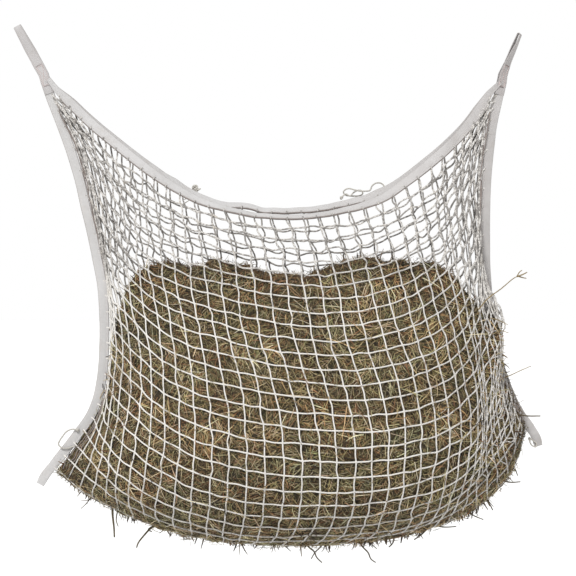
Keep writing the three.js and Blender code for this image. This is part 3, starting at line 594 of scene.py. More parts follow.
def surf(net, c, r):
    """Smooth point of a control net at column c and row r."""
    c, r = np.broadcast_arrays(np.asarray(c, float), np.asarray(r, float))
    u, v = np.clip(c / 2.5, 0, 14), np.clip(r / 2, 0, 13)
    i, j = np.minimum(13, np.floor(u)).astype(int), np.minimum(12, np.floor(v)).astype(int)
    fu, fv = (u - i)[..., None], (v - j)[..., None]
    big = np.empty((16, 17, 3))
    big[1:15, 1:16] = net
    big[1:15, 0] = 2 * net[:, 0] - net[:, 1]
    big[1:15, 16] = 2 * net[:, 14] - net[:, 13]
    big[0] = 2 * big[1] - big[2]
    big[15] = 2 * big[14] - big[13]

    def cr(a, b, c_, d, t):
        return 0.5 * (2 * b + (c_ - a) * t + (2 * a - 5 * b + 4 * c_ - d) * t * t + (3 * b - a - 3 * c_ + d) * t**3)

    q = [cr(*(big[j + b, i + a] for a in range(4)), fu) for b in range(4)]
    return cr(*q, fv)


def smooth(x, a, b):
    t = np.clip((np.asarray(x, float) - a) / (b - a), 0, 1)
    return t * t * (3 - 2 * t)


STRAPS = {}


def strap_curve(name, points, level=False, side=1.0):
    """Centreline, tangent, width direction and face normal of a binding, as the solids have them."""
    line, tilt = centripetal(points)
    p, s, tilt = resample(line * MM, step=0.004, extra=tilt)
    if name == "side_left":
        p[:, 0] += np.interp(p[:, 2], [-0.64, -0.57, -0.48, -0.40, -0.30, -0.24, -0.18, -0.131], [-0.003, -0.003, -0.001, 0, 0.003, 0.003, 0.003, 0.004])
    t = unit(np.gradient(p, axis=0))
    up = unit(np.stack([-t[:, 2], np.zeros(len(t)), t[:, 0]], -1))
    if level:
        up *= np.sign(up[:, 2:3])
    a = np.radians(tilt * side)[:, None]
    w = up * np.cos(a) + np.array([0, 1.0, 0]) * np.sin(a)
    w = unit(w - (w * t).sum(-1, keepdims=True) * t)
    n = unit(np.cross(w, t))
    n *= -np.sign(n[:, 1:2])
    STRAPS[name] = (p, s, t, w, n)
    return STRAPS[name]


strap_curve("side_left", LEFT_SIDE)
strap_curve("side_right", RIGHT_SIDE)
strap_curve("top_front", TOP_FRONT, level=True, side=1.0)
strap_curve("top_rear", TOP_REAR, level=True, side=0.9)

# where each column of netting enters the mouth binding
_cc = np.linspace(0, COLUMNS, 36)
MOUTH = {}
for face, net, strap in (("front", FRONT, "top_front"), ("rear", REAR, "top_rear")):
    p, s, t, w, n = STRAPS[strap]
    at = surf(net, _cc, 0.0)
    k = np.argmin(((at[:, None] - (p - w * 0.010)[None]) ** 2).sum(-1), axis=1)
    MOUTH[face] = (p - w * 0.005)[k] - at

def mesh_size(net, c, r):
    """How open the meshes are here, against a full mesh."""
    a = surf(net, np.clip(c + 0.5, 0, COLUMNS), r) - surf(net, np.clip(c - 0.5, 0, COLUMNS), r)
    b = surf(net, c, np.clip(r + 0.5, 0, ROWS)) - surf(net, c, np.clip(r - 0.5, 0, ROWS))
    area = np.linalg.norm(np.cross(a, b), axis=-1)
    return np.clip(area / 0.0009, 0.12, 1.0)


JIT = {f: rng.normal(0, 1, (COLUMNS + 1, ROWS + 1, 3)) * np.array([1.3, 0.5, 1.3]) * MM for f in ("front", "rear")}


def hay_row(c):
    """The row at which the top of the hay stands, at column c."""
    return np.interp(c, HAY_C, HAY_R)


def sheared(c, r):
    """The rows are sewn in higher up the sides than they hang, so the meshes of the corners are drawn into long diamonds."""
    lift = 2.2 * (1 - smooth(c, 0, 7.5)) + 1.5 * smooth(c, 28, 35)
    return r - lift * smooth(r, 0, 4) * (1 - smooth(r, 4.5, 9.5))


def on_net(face, c, r, jitter=True):
    """A point of the netting: on the bulged surface, drawn together where it enters the bindings."""
    c, r = np.broadcast_arrays(np.asarray(c, float), np.asarray(r, float))
    net = FRONT if face == "front" else REAR
    if face == "rear":  # the rear meshes hang half a mesh lower, and lie beside the front ones near the corners
        inside = smooth(c, 0, 3) * smooth(COLUMNS - c, 0, 3)
        low = 1 - smooth(r, 20, 26)
        corner = 0.08 + 0.34 * np.maximum(1 - smooth(c, 3, 11), 1 - smooth(COLUMNS - c, 3, 11))
        p = surf(net, c + corner * inside * low, sheared(c, r) + 0.42 * smooth(r, 0, 1.0) * low * (0.3 + 0.7 * inside))
    else:
        p = surf(net, c, sheared(c, r))
    wr = smooth(r, 11.5, 16.5) * (1 - smooth(r, 24.0, 26.0))
    bulge = np.interp(c, [29.5, 31, 32, 33, 34, 34.6, 35], [0, 0.08, 0.3, 0.72, 1.0, 0.95, 0.8]) * wr
    p[..., 0] += 0.025 * bulge
    p[..., 1] += (-0.030 if face == "front" else -0.012) * bulge
    pinch = smooth(r, 0, 1) * 0.25 + 0.75 * smooth(r, 0, 0.6) * np.minimum(np.minimum(smooth(c, 0, 1.5), smooth(COLUMNS - c, 0, 1.5)), 1)
    p[..., 1] += (-0.003 if face == "front" else 0.003) * pinch
    pull = np.stack([np.interp(c, _cc, MOUTH[face][:, i]) for i in range(3)], -1)
    p = p + pull * np.stack([np.clip(1 - r / 1.2, 0, 1) ** 2, 1 - smooth(r, 0.25, 1.25), np.clip(1 - r / 1.2, 0, 1) ** 2], -1)
    if jitter:
        i, j = np.clip(np.floor(c).astype(int), 0, COLUMNS - 1), np.clip(np.floor(r).astype(int), 0, ROWS - 1)
        fu, fv = (c - i)[..., None], (r - j)[..., None]
        J = JIT[face]
        d = (J[i, j] * (1 - fu) + J[i + 1, j] * fu) * (1 - fv) + (J[i, j + 1] * (1 - fu) + J[i + 1, j + 1] * fu) * fv
        free = np.minimum(np.minimum(smooth(c, 0, 1), smooth(COLUMNS - c, 0, 1)), smooth(r, 0, 1))[..., None]
        above = 1 + 0.9 * (1 - smooth(r, hay_row(c) - 1, hay_row(c) + 1))[..., None]
        p = p + d * free * above * mesh_size(net, c, r)[..., None]
    return p


# the top of the hay, read as a height at each x
HAY_X = np.array([-0.415, -0.405, -0.398, -0.386, -0.368, -0.352, -0.330, -0.300, -0.262, -0.211, -0.130, -0.100, -0.046, 0.014, 0.081,
                  0.116, 0.170, 0.229, 0.290, 0.341, 0.409, 0.430, 0.452, 0.480, 0.510, 0.535, 0.552, 0.575, 0.60])
HAY_Z = np.array([-0.86, -0.80, -0.745, -0.700, -0.655, -0.622, -0.606, -0.590, -0.592, -0.600, -0.588, -0.590, -0.613, -0.622, -0.627,
                  -0.612, -0.594, -0.580, -0.590, -0.594, -0.604, -0.612, -0.632, -0.665, -0.700, -0.732, -0.756, -0.80, -0.86])
HAY_C = np.linspace(0, COLUMNS, 71)
_rr = np.linspace(0, ROWS, 521)
HAY_R = []
for _c in HAY_C:
    _p = surf(FRONT, _c, _rr)
    _d = _p[:, 2] - np.interp(_p[:, 0], HAY_X, HAY_Z)
    _k = np.argmax(_d < 0)
    HAY_R.append(_rr[_k])
HAY_R = np.array(HAY_R)


# ---------------------------------------------------------------------------
# netting
# ---------------------------------------------------------------------------
CORD = 0.0019
PER = 5


def bow(count, amount):
    return rng.normal(0, 1, (count, 3)) * amount * np.array([0.9, 0.5, 0.9]) * MM


BOW_ROW = {f: bow((COLUMNS) * (ROWS + 1), 1.5).reshape(COLUMNS, ROWS + 1, 3) for f in ("front", "rear")}
BOW_COL = {f: bow((COLUMNS + 1) * ROWS, 1.5).reshape(COLUMNS + 1, ROWS, 3) for f in ("front", "rear")}


def row_line(face, r, c0, c1, per=PER):
    n = max(2, int(round((c1 - c0) * per)) + 1)
    c = np.linspace(c0, c1, n)
    p = on_net(face, c, float(r))
    i = np.clip(np.floor(c + 1e-9).astype(int), 0, COLUMNS - 1)
    b = BOW_ROW[face][i, min(r, ROWS)] * np.sin(np.pi * np.clip(c - i, 0, 1))[:, None] ** 1.5
    above = 1 + 1.4 * (1 - smooth(r, hay_row(c) - 1, hay_row(c) + 1))
    b = b * (above * mesh_size(FRONT, c, float(r)))[:, None]
    b[:, 2] -= 0.0012 * np.sin(np.pi * np.clip(c - i, 0, 1)) * (above - 1)
    free = np.minimum(smooth(c, 0, 1), smooth(COLUMNS - c, 0, 1))[:, None]
    return p + b * free


def column_line(face, c, r0, r1, per=PER):
    n = max(2, int(round((r1 - r0) * per)) + 1)
    r = np.linspace(r0, r1, n)
    p = on_net(face, float(c), r)
    j = np.clip(np.floor(r + 1e-9).astype(int), 0, ROWS - 1)
    b = BOW_COL[face][min(c, COLUMNS), j] * np.sin(np.pi * np.clip(r - j, 0, 1))[:, None] ** 1.5
    above = 1 + 1.4 * (1 - smooth(r, hay_row(c) - 1, hay_row(c) + 1))
    return p + b * (above * mesh_size(FRONT, float(c), r))[:, None]


def thickness(q):
    """A cord swells a little where it runs into a crossing."""
    d = np.abs(q - np.round(q))
    return CORD * (1 + 0.16 * np.exp(-((d / 0.14) ** 2)))


def swell(c, r):
    """Above the hay the cord is slack and fluffed up, most of all in the corners."""
    c, r = np.broadcast_arrays(np.asarray(c, float), np.asarray(r, float))
    slack = 1 - smooth(r, hay_row(c) - 1.0, hay_row(c) + 1.0)
    corner = np.maximum(smooth(c, 25.0, 29.5), 1 - smooth(c, 4.0, 8.0))
    return 1 + slack * (0.17 + 0.12 * corner)


def anchor(side, point):
    """Where a strand is sewn in, between the two plies of a side binding."""
    p, s, t, w, n = STRAPS["side_" + side]
    k = np.argmin(((p - point) ** 2).sum(-1))
    return p[k] + w[k] * (0.003 if side == "left" else -0.003)


def add_row(soup, face, r, c0, c1):
    p = row_line(face, r, c0, c1)
    q = thickness(np.linspace(c0, c1, len(p)))
    q = q * swell(np.linspace(c0, c1, len(p)), r)
    if c0 == 0:
        sewn = anchor("left", p[0])
        p[0] = (p[1] + sewn) / 2
        p, q = np.concatenate([sewn[None], p]), np.concatenate([q[:1] * 0.9, q])
    if c1 == COLUMNS:
        sewn = anchor("right", p[-1])
        p[-1] = (p[-2] + sewn) / 2
        p, q = np.concatenate([p, sewn[None]]), np.concatenate([q, q[-1:] * 0.9])
    tubes(soup, p, q[None], sides=6)


def add_column(soup, face, c, r0, r1):
    p = column_line(face, c, r0, r1)
    r = np.linspace(r0, r1, len(p))
    tubes(soup, p, (thickness(r) * swell(c, r))[None], sides=6)


def add_spare(soup, face, k, r0, r1, end):
    """A slack cord of the gathered corner meshes, from a crossing near the mouth down to one near the hay."""
    r = np.linspace(r0, r1, max(3, int(round((r1 - r0) * 5)) + 1))
    tied = np.clip(1 - smooth(r, 1.0, 2.3) + smooth(r, end - 1.3, end), 0, 1)
    wander = 0.26 * noise(np.stack([r * 0.1, r * 0 + k * 1.9, r * 0 + (4 if face == "front" else 11)], -1), 0.10, 2)
    c = k + 0.5 + 0.5 * tied + wander * (1 - tied)
    p = on_net(face, c, r, False)
    p[:, 1] -= 0.0009 * (1 - tied)
    tubes(soup, p, (0.0015 * swell(c, r))[None], sides=6)


SPARE_END = {0: 8.0, 1: 8.0, 2: 8.0, 28: 11.0, 30: 12.0, 32: 12.0}
SPARE = {"front": (1,), "rear": (0, 2, 28, 30, 32)}


def add_knots(soup, face, cs, rs):
    c, r = np.meshgrid(np.asarray(cs, float), np.asarray(rs, float), indexing="ij")
    c, r = c.ravel(), r.ravel()
    if not len(c):
        return
    p = on_net(face, c, r)
    e = 0.05
    a = unit(on_net(face, np.clip(c + e, 0, COLUMNS), r, False) - on_net(face, np.clip(c - e, 0, COLUMNS), r, False))
    b = unit(on_net(face, c, np.clip(r + e, 0, ROWS), False) - on_net(face, c, np.clip(r - e, 0, ROWS), False))
    n = unit(np.cross(a, b))
    b = np.cross(n, a)
    f = rng.uniform(0.5, 1.0, len(c))[:, None] * math.pi / 4
    d1, d2 = a * np.cos(f) + b * np.sin(f), -a * np.sin(f) + b * np.cos(f)
    k = (rng.uniform(0.9, 1.12, len(c)) * swell(c, r) ** 0.4)[:, None]
    axes = np.stack([d1 * 0.0035 * k, d2 * 0.0028 * k, n * 0.0026 * k], 1)
    balls(soup, p, axes)


SPLIT = 7
EDGES = [0, 1, 2, 3, 5, 7, 10, 13, 17, 21, 25, 28, 30, 32, 33, 34, 35]
for face in ("front", "rear"):
    soup = Soup()
    for r in range(SPLIT, ROWS + 1):
        add_row(soup, face, r, 0, COLUMNS)
    for c in range(1, COLUMNS):
        add_column(soup, face, c, SPLIT, ROWS)
    add_knots(soup, face, range(1, COLUMNS), range(SPLIT, ROWS + 1))
    for spare in SPARE[face]:
        add_spare(soup, face, spare, SPLIT, SPARE_END[spare], SPARE_END[spare])
    lower = soup.mesh(f"netting_{face}_lower", NETTING)
    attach(lower, "bag")
    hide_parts(f"net_{face}_lower")
    for k in range(len(EDGES) - 1):
        a, b = EDGES[k], EDGES[k + 1]
        soup = Soup()
        for r in range(1, SPLIT):
            add_row(soup, face, r, a, b)
        cols = [c for c in range(a, b + 1) if 0 < c < COLUMNS and (c > a)]
        for c in cols:
            add_column(soup, face, c, 0.0, SPLIT)
        add_knots(soup, face, cols, range(1, SPLIT))
        for spare in [m for m in SPARE[face] if a <= m < b]:
            add_spare(soup, face, spare, 1.0, SPLIT, SPARE_END[spare])
        strip = soup.mesh(f"netting_{face}_upper_{k + 1:02d}", NETTING)
        if k == len(EDGES) // 2:
            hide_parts(f"net_{face}_upper")
        mid = (a + b) / 2
        top, low = on_net(face, mid, 0.25, False), on_net(face, mid, 6.6, False)
        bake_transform(strip)

# at the right-hand side the spare meshes are gathered into folds
soup = Soup()
for m, (k, first, last) in enumerate(((29, 12, 24), (31, 11, 25), (32, 12, 24), (33, 13, 25))):
    r = np.linspace(first, last, 5 * (last - first) + 1)
    tied = np.clip(1 - smooth(r, first, first + 1.2) + smooth(r, last - 1.2, last), 0, 1)
    wander = 0.16 * noise(np.stack([r * 0.1, r * 0 + m * 2.3, r * 0 + 3], -1), 0.11, 2) + 0.08 * np.sin(r * math.pi + m)
    p = on_net("front", np.clip(k + 0.5 + 0.5 * tied + wander * (1 - tied), 0, 34.9), r, False)
    p[:, 1] -= 0.0008 * (1 - tied)
    tubes(soup, p, 0.0015, sides=6)
for m in range(12):
    row, first = 12 + m, 31 + m % 2
    c = np.linspace(first, 34.0, 6 * (34 - first) + 1)
    tied = np.clip(1 - smooth(c, first, first + 0.8) + smooth(c, 33.3, 34.0), 0, 1)
    p = on_net("front", c, row + (1 - tied) * (0.6 + 0.25 * np.sin(c * math.pi + m * 0.5 * math.pi)), False)
    p[:, 1] -= 0.0005 * (1 - tied)
    tubes(soup, p, 0.0015, sides=6)
o = soup.mesh("netting_gather_right", NETTING)
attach(o, "bag")

# the selvage: the last meshes at each side are gathered on doubled cords that run beside the bindings, coloured dark as
# painted shade along the bindings' inner edges
for side, col, out in (("left", 0.34, 1.0), ("right", 34.66, -1.0)):
    soup = Soup()
    for m in range(3):
        r = np.linspace((3.0, 4.2, 8.0)[m], 25.7, 190)
        wander = 0.34 * noise(np.stack([r * 0.1, r * 0 + m * 3.1, r * 0 + (5 if side == "left" else 9)], -1), 0.09, 2)
        p = on_net("front", col + out * (0.22 * m + wander), r, False)
        p[:, 1] -= 0.0035 - 0.002 * m
        tubes(soup, p, 0.00125 + 0.0001 * m, sides=6)
    o = soup.mesh(f"netting_selvage_{side}", SHADOW_CORD)
    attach(o, "bag")

# the panel folds under the hay and comes up behind it
FOLD_SAG = 0.003


def fold_line(c, n=9):
    a, b = on_net("front", float(c), float(ROWS)), on_net("rear", float(c), float(ROWS))
    t = np.linspace(0, 1, n)[:, None]
    p = a + (b - a) * t
    p[:, 2] -= (FOLD_SAG * np.sin(np.pi * t) ** 0.8)[:, 0]
    return p


soup = Soup()
for c in range(1, COLUMNS):
    p = fold_line(c)
    tubes(soup, p, CORD, sides=6, seed=np.array([[1.0, 0.0, 0.1]]))
under = np.array([fold_line(c, 3)[1] for c in np.linspace(0.15, COLUMNS - 0.15, 141)])
under[:, 0] += 0.001 * noise(under, 0.03)
under[:, 2] += 0.001 * noise(under + 3.0, 0.03)
tubes(soup, under, CORD, sides=6)
mid = np.array([fold_line(c, 3)[1] for c in range(1, COLUMNS)])
balls(soup, mid, np.tile(np.array([[0.0033, 0, 0.0006], [0, 0.0029, 0], [-0.0004, 0, 0.0026]]), (len(mid), 1, 1)))
fold = soup.mesh("netting_fold", NETTING)
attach(fold, "bag")
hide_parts("net_bottom")


# ---------------------------------------------------------------------------
# webbing
# ---------------------------------------------------------------------------
def profile_mesh(name, P, W, N, S, profile, material, width=None, thick=None):
    """Sweeps a closed (across, out) profile in millimetres along frames P, W, N."""
    n, k = len(P), len(profile)
    prof = np.array(profile, float) * MM
    a = prof[None, :, 0] * (1 if width is None else width[:, None])
    b = prof[None, :, 1] * (1 if thick is None else thick[:, None])
    v = P[:, None] + W[:, None] * a[..., None] + N[:, None] * b[..., None]
    i = np.arange(n - 1)[:, None] * k
    j = np.arange(k)[None]
    j2 = (j + 1) % k
    quads = np.stack([i + j, i + j2, i + k + j2, i + k + j], -1).reshape(-1, 4)
    step = np.linalg.norm(np.roll(prof, -1, 0) - prof, axis=1)
    girth = np.concatenate([[0], np.cumsum(step)])
    u0 = np.broadcast_to(S[:-1, None], (n - 1, k))
    u1 = np.broadcast_to(S[1:, None], (n - 1, k))
    v0 = np.broadcast_to(girth[None, :-1], (n - 1, k))
    v1 = np.broadcast_to(girth[None, 1:], (n - 1, k))
    uv = np.stack([np.stack([u0, v0], -1), np.stack([u0, v1], -1), np.stack([u1, v1], -1), np.stack([u1, v0], -1)], -2)
    caps = n * k + np.array([np.arange(k)[::-1], k + np.arange(k)])
    flat_v = v.reshape(-1, 3)
    q0, q1, q2, q3 = (flat_v[quads[:, m]] for m in range(4))
    if (np.einsum("ij,ij->i", q0, np.cross(q1, q2)) + np.einsum("ij,ij->i", q0, np.cross(q2, q3))).sum() < 0:
        quads, uv, caps = quads[:, ::-1], uv.reshape(-1, 4, 2)[:, ::-1], caps[:, ::-1]
    cap_uv = prof[caps % k]
    soup = Soup()
    soup.add(np.concatenate([flat_v, v[0], v[-1]]), [quads, caps], [uv, cap_uv])
    o = soup.mesh(name, material)
    # darkening of the soiled outer edges of the tape, read by the webbing material
    darkening = np.tile((np.abs(prof[:, 0]) > 0.9 * np.abs(prof[:, 0]).max()) * (0.45 if material is LOOP_WEB else 1.0), n + 2)
    o.data.attributes.new("darkening", "FLOAT", "POINT").data.foreach_set("value", darkening)
    o.data.update()
    return o


def folded(inner, half=12.0, thin=2.3, thick=3.6):
    """Tape folded over the edge of the netting: a tight fold outside, two plies lying open inside."""
    s = inner
    top = [(-s * half * 1.00, 0.0), (-s * half * 0.985, thin * 0.62), (-s * half * 0.93, thin * 0.95), (-s * half * 0.8, thin * 1.12),
           (-s * half * 0.45, thin * 1.2), (-s * 0.0, thin * 1.25), (s * half * 0.36, thin * 1.28), (s * half * 0.52, thin * 1.18),
           (s * half * 0.60, thin * 1.1), (s * half * 0.68, thin * 1.2), (s * half * 0.82, thick * 0.95), (s * half * 0.96, thick),
           (s * half * 1.02, thick * 0.86), (s * half * 1.0, thick * 0.55), (s * half * 0.8, thick * 0.42)]
    low = [(a, -b) for a, b in top[1:]][::-1]
    return top + low


def wavy(P, W, N, amount=0.0006, scale=0.05):
    a = noise(P, scale, 2)
    b = noise(P + 5.0, scale * 1.3, 2)
    return P + W * (a * amount)[:, None] + N * (b * amount * 1.2)[:, None]


TAIL_LEFT, TAIL_RIGHT = 0.074, 0.052
for side, tail, inner in (("left", TAIL_LEFT, 1.0), ("right", TAIL_RIGHT, -1.0)):
    p, s, t, w, n = STRAPS["side_" + side]
    p = wavy(p, w, n)
    L = s[-1]
    cut = np.searchsorted(s, L - tail)
    start = 1 if side == "left" else 3
    k = slice(start, cut + 1)
    thick = 1 + 0.05 * noise(p, 0.02, 2)
    o = profile_mesh(f"side_webbing_{side}", p[k], w[k], n[k], s[k], folded(inner), WEBBING, thick=thick[k])
    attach(o, "bag")
    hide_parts(f"side_binding_{side}")
    # the tape runs on past the corner as a free tail, cut square and melted at its end
    k = slice(cut, len(s))
    q = (s[k] - s[cut]) / (s[-1] - s[cut])
    flat = [(-11.6, 0), (-11.4, 1.3), (-10.2, 1.8), (-5, 1.7), (0, 1.9), (5, 1.7), (10.2, 1.8), (11.4, 1.3), (11.6, 0),
            (11.4, -1.3), (10.2, -1.8), (5, -1.7), (0, -1.9), (-5, -1.7), (-10.2, -1.8), (-11.4, -1.3)]
    wd = 1 - 0.10 * smooth(q, 0.8, 1.0) - 0.04 * np.abs(np.sin(q * 5))
    th = 1 + 0.9 * (1 - smooth(q, 0.0, 0.25)) - 0.25 * smooth(q, 0.9, 1.0)
    cup = p[k] + n[k] * (0.0016 * np.sin(q * 4.1) * smooth(q, 0.05, 0.4))[:, None]
    o = profile_mesh(f"webbing_tail_end_{side}", cup, w[k], n[k], s[k], flat, WEBBING, width=wd, thick=th)
    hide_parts(f"webbing_tail_{side}")
    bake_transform(o)


def stitches(soup, P, T, N, S, offset_w, W, pitch=0.0046, length=0.0034, lift=0.0, radius=0.00048, faces=(1, -1), height=None):
    """Rows of single stitches, each a short bowed thread that dips into the tape at both ends."""
    total = S[-1] - S[0]
    count = int(total / pitch)
    at = S[0] + (np.arange(count) + 0.5) * pitch
    idx = np.interp(at, S, np.arange(len(S)))
    i = np.clip(np.floor(idx).astype(int), 0, len(S) - 2)
    f = (idx - i)[:, None]
    lerp = lambda A: A[i] * (1 - f) + A[i + 1] * f
    p, t, n, w = lerp(P), unit(lerp(T)), unit(lerp(N)), unit(lerp(W))
    h = lift if height is None else np.interp(at, S, height)[:, None]
    for face in faces:
        q = np.linspace(-0.5, 0.5, 5)
        path = (p[:, None] + w[:, None] * offset_w + n[:, None] * (face * (h if np.isscalar(h) else h[:, None]))
                + t[:, None] * (q * length)[None, :, None]
                + n[:, None] * (face * 0.0005 * (1 - (2 * q) ** 4) - face * 0.0003)[None, :, None]
                + w[:, None] * (rng.normal(0, 0.00018, (count, 1, 1))))
        r = radius * (1 - 0.5 * np.abs(2 * q) ** 4)
        tubes(soup, path, r[None], sides=5, seed=n)


for side, tail, inner in (("left", TAIL_LEFT, 1.0), ("right", TAIL_RIGHT, -1.0)):
    p, s, t, w, n = STRAPS["side_" + side]
    k = slice(8, np.searchsorted(s, s[-1] - tail - 0.012))
    soup = Soup()
    stitches(soup, p[k], t[k], n[k], s[k], inner * 0.0072, w[k], lift=0.0026)
    o = soup.mesh(f"side_stitching_{side}", THREAD)
    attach(o, "bag")
    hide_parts(f"side_seam_{side}")

# the mouth bindings run on into both corners, where the side bindings hold them
for face, body in (("front", "front_edge"), ("rear", "rear_edge")):
    p, s, t, w, n = STRAPS["top_" + face]
    sgn = -1.0 if face == "front" else 1.0
    left = np.array([-0.5620, sgn * 0.0048, -0.1240])
    right = np.array([0.5655, sgn * 0.0048, -0.1335])
    line = np.concatenate([left[None], p, right[None]])
    ext = lambda A: np.concatenate([A[:1], A, A[-1:]])
    ww, nn = ext(w), ext(n)
    seg = np.concatenate([[0], np.cumsum(np.linalg.norm(np.diff(line, axis=0), axis=1))])
    q = np.linspace(0, seg[-1], int(seg[-1] / 0.004) + 1)
    at = lambda A: np.stack([np.interp(q, seg, A[:, i]) for i in range(3)], -1)
    P, W, N = at(line), unit(at(ww)), unit(at(nn))
    P = wavy(P, W, N, 0.0008, 0.06)
    middle = smooth(np.minimum(q, q[-1] - q), 0.25, 0.5)
    ripple = noise(np.stack([q, q * 0 + (1 if face == "front" else 7), q * 0], -1), 0.045 if face == "front" else 0.060, 2)
    P = P + np.array([0, 0, 1.0]) * (ripple * middle * (0.0018 if face == "front" else 0.0062))[:, None]
    T = unit(np.gradient(P, axis=0))
    near = np.minimum(q, q[-1] - q)
    width = 0.52 + 0.48 * smooth(near, 0.0, 0.09)
    thick = 1 + 0.08 * noise(P, 0.025, 2)
    prof = folded(-1.0, thin=1.9, thick=2.9)
    d = 0.056
    a, b = np.searchsorted(q, d), np.searchsorted(q, q[-1] - d)
    for label, k in (("corner_left", slice(0, a + 1)), ("", slice(a, b + 1)), ("corner_right", slice(b, len(q)))):
        name = f"mouth_webbing_{face}" + ("_" + label if label else "")
        o = profile_mesh(name, P[k], W[k], N[k], q[k], prof, WEBBING, width=width[k], thick=thick[k])
        if label == "":
            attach(o, body)
            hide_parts(f"top_binding_{face}")
        elif label == "corner_left":
            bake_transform(o)
        else:
            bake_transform(o)
    # painted shadow: a thin dark cord along the lower edge of the mouth binding stands for the shadow under the
    # binding's edge
    soup = Soup()
    k = slice(a + 2, b - 1)
    edge = P[k] - W[k] * (0.0128 + 0.0006 * noise(P[k], 0.03, 2))[:, None] + N[k] * 0.0008
    tubes(soup, edge, 0.00125, sides=6)
    o = soup.mesh(f"mouth_shadow_cord_{face}", SHADOW_CORD)
    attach(o, body)
    soup = Soup()
    net = FRONT if face == "front" else REAR
    heads = on_net(face, np.arange(1.0, COLUMNS), 0.0, False)
    for at in heads:
        m = int(np.argmin(((P - at) ** 2).sum(-1)))
        if not a + 2 < m < b - 2:
            continue
        e0, e1 = -0.0158 + rng.uniform(-0.0006, 0.0006), -0.0072 + rng.uniform(-0.0014, 0.0014)
        lean = rng.uniform(-0.0028, 0.0028)
        across = np.array([e0, -0.0135, -0.0105, e1, e1 + 0.0006])
        off = np.array([0.0008, 0.0042, 0.0043, 0.0038, 0.0018])
        path = P[m] + W[m] * across[:, None] + N[m] * off[:, None] + T[m] * (lean * np.linspace(0, 1, 5))[:, None]
        tubes(soup, path, np.array([[0.0016, 0.0017, 0.0016, 0.0015, 0.0012]]), sides=6)
    o = soup.mesh(f"mouth_lacing_{face}", NETTING)
    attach(o, body)
    soup = Soup()
    k = slice(a, b + 1)
    stitches(soup, P[k], T[k], N[k], q[k], -0.0074, W[k], lift=0.0021)
    o = soup.mesh(f"mouth_stitching_{face}", THREAD)
    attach(o, body)
    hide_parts(f"top_seam_{face}")


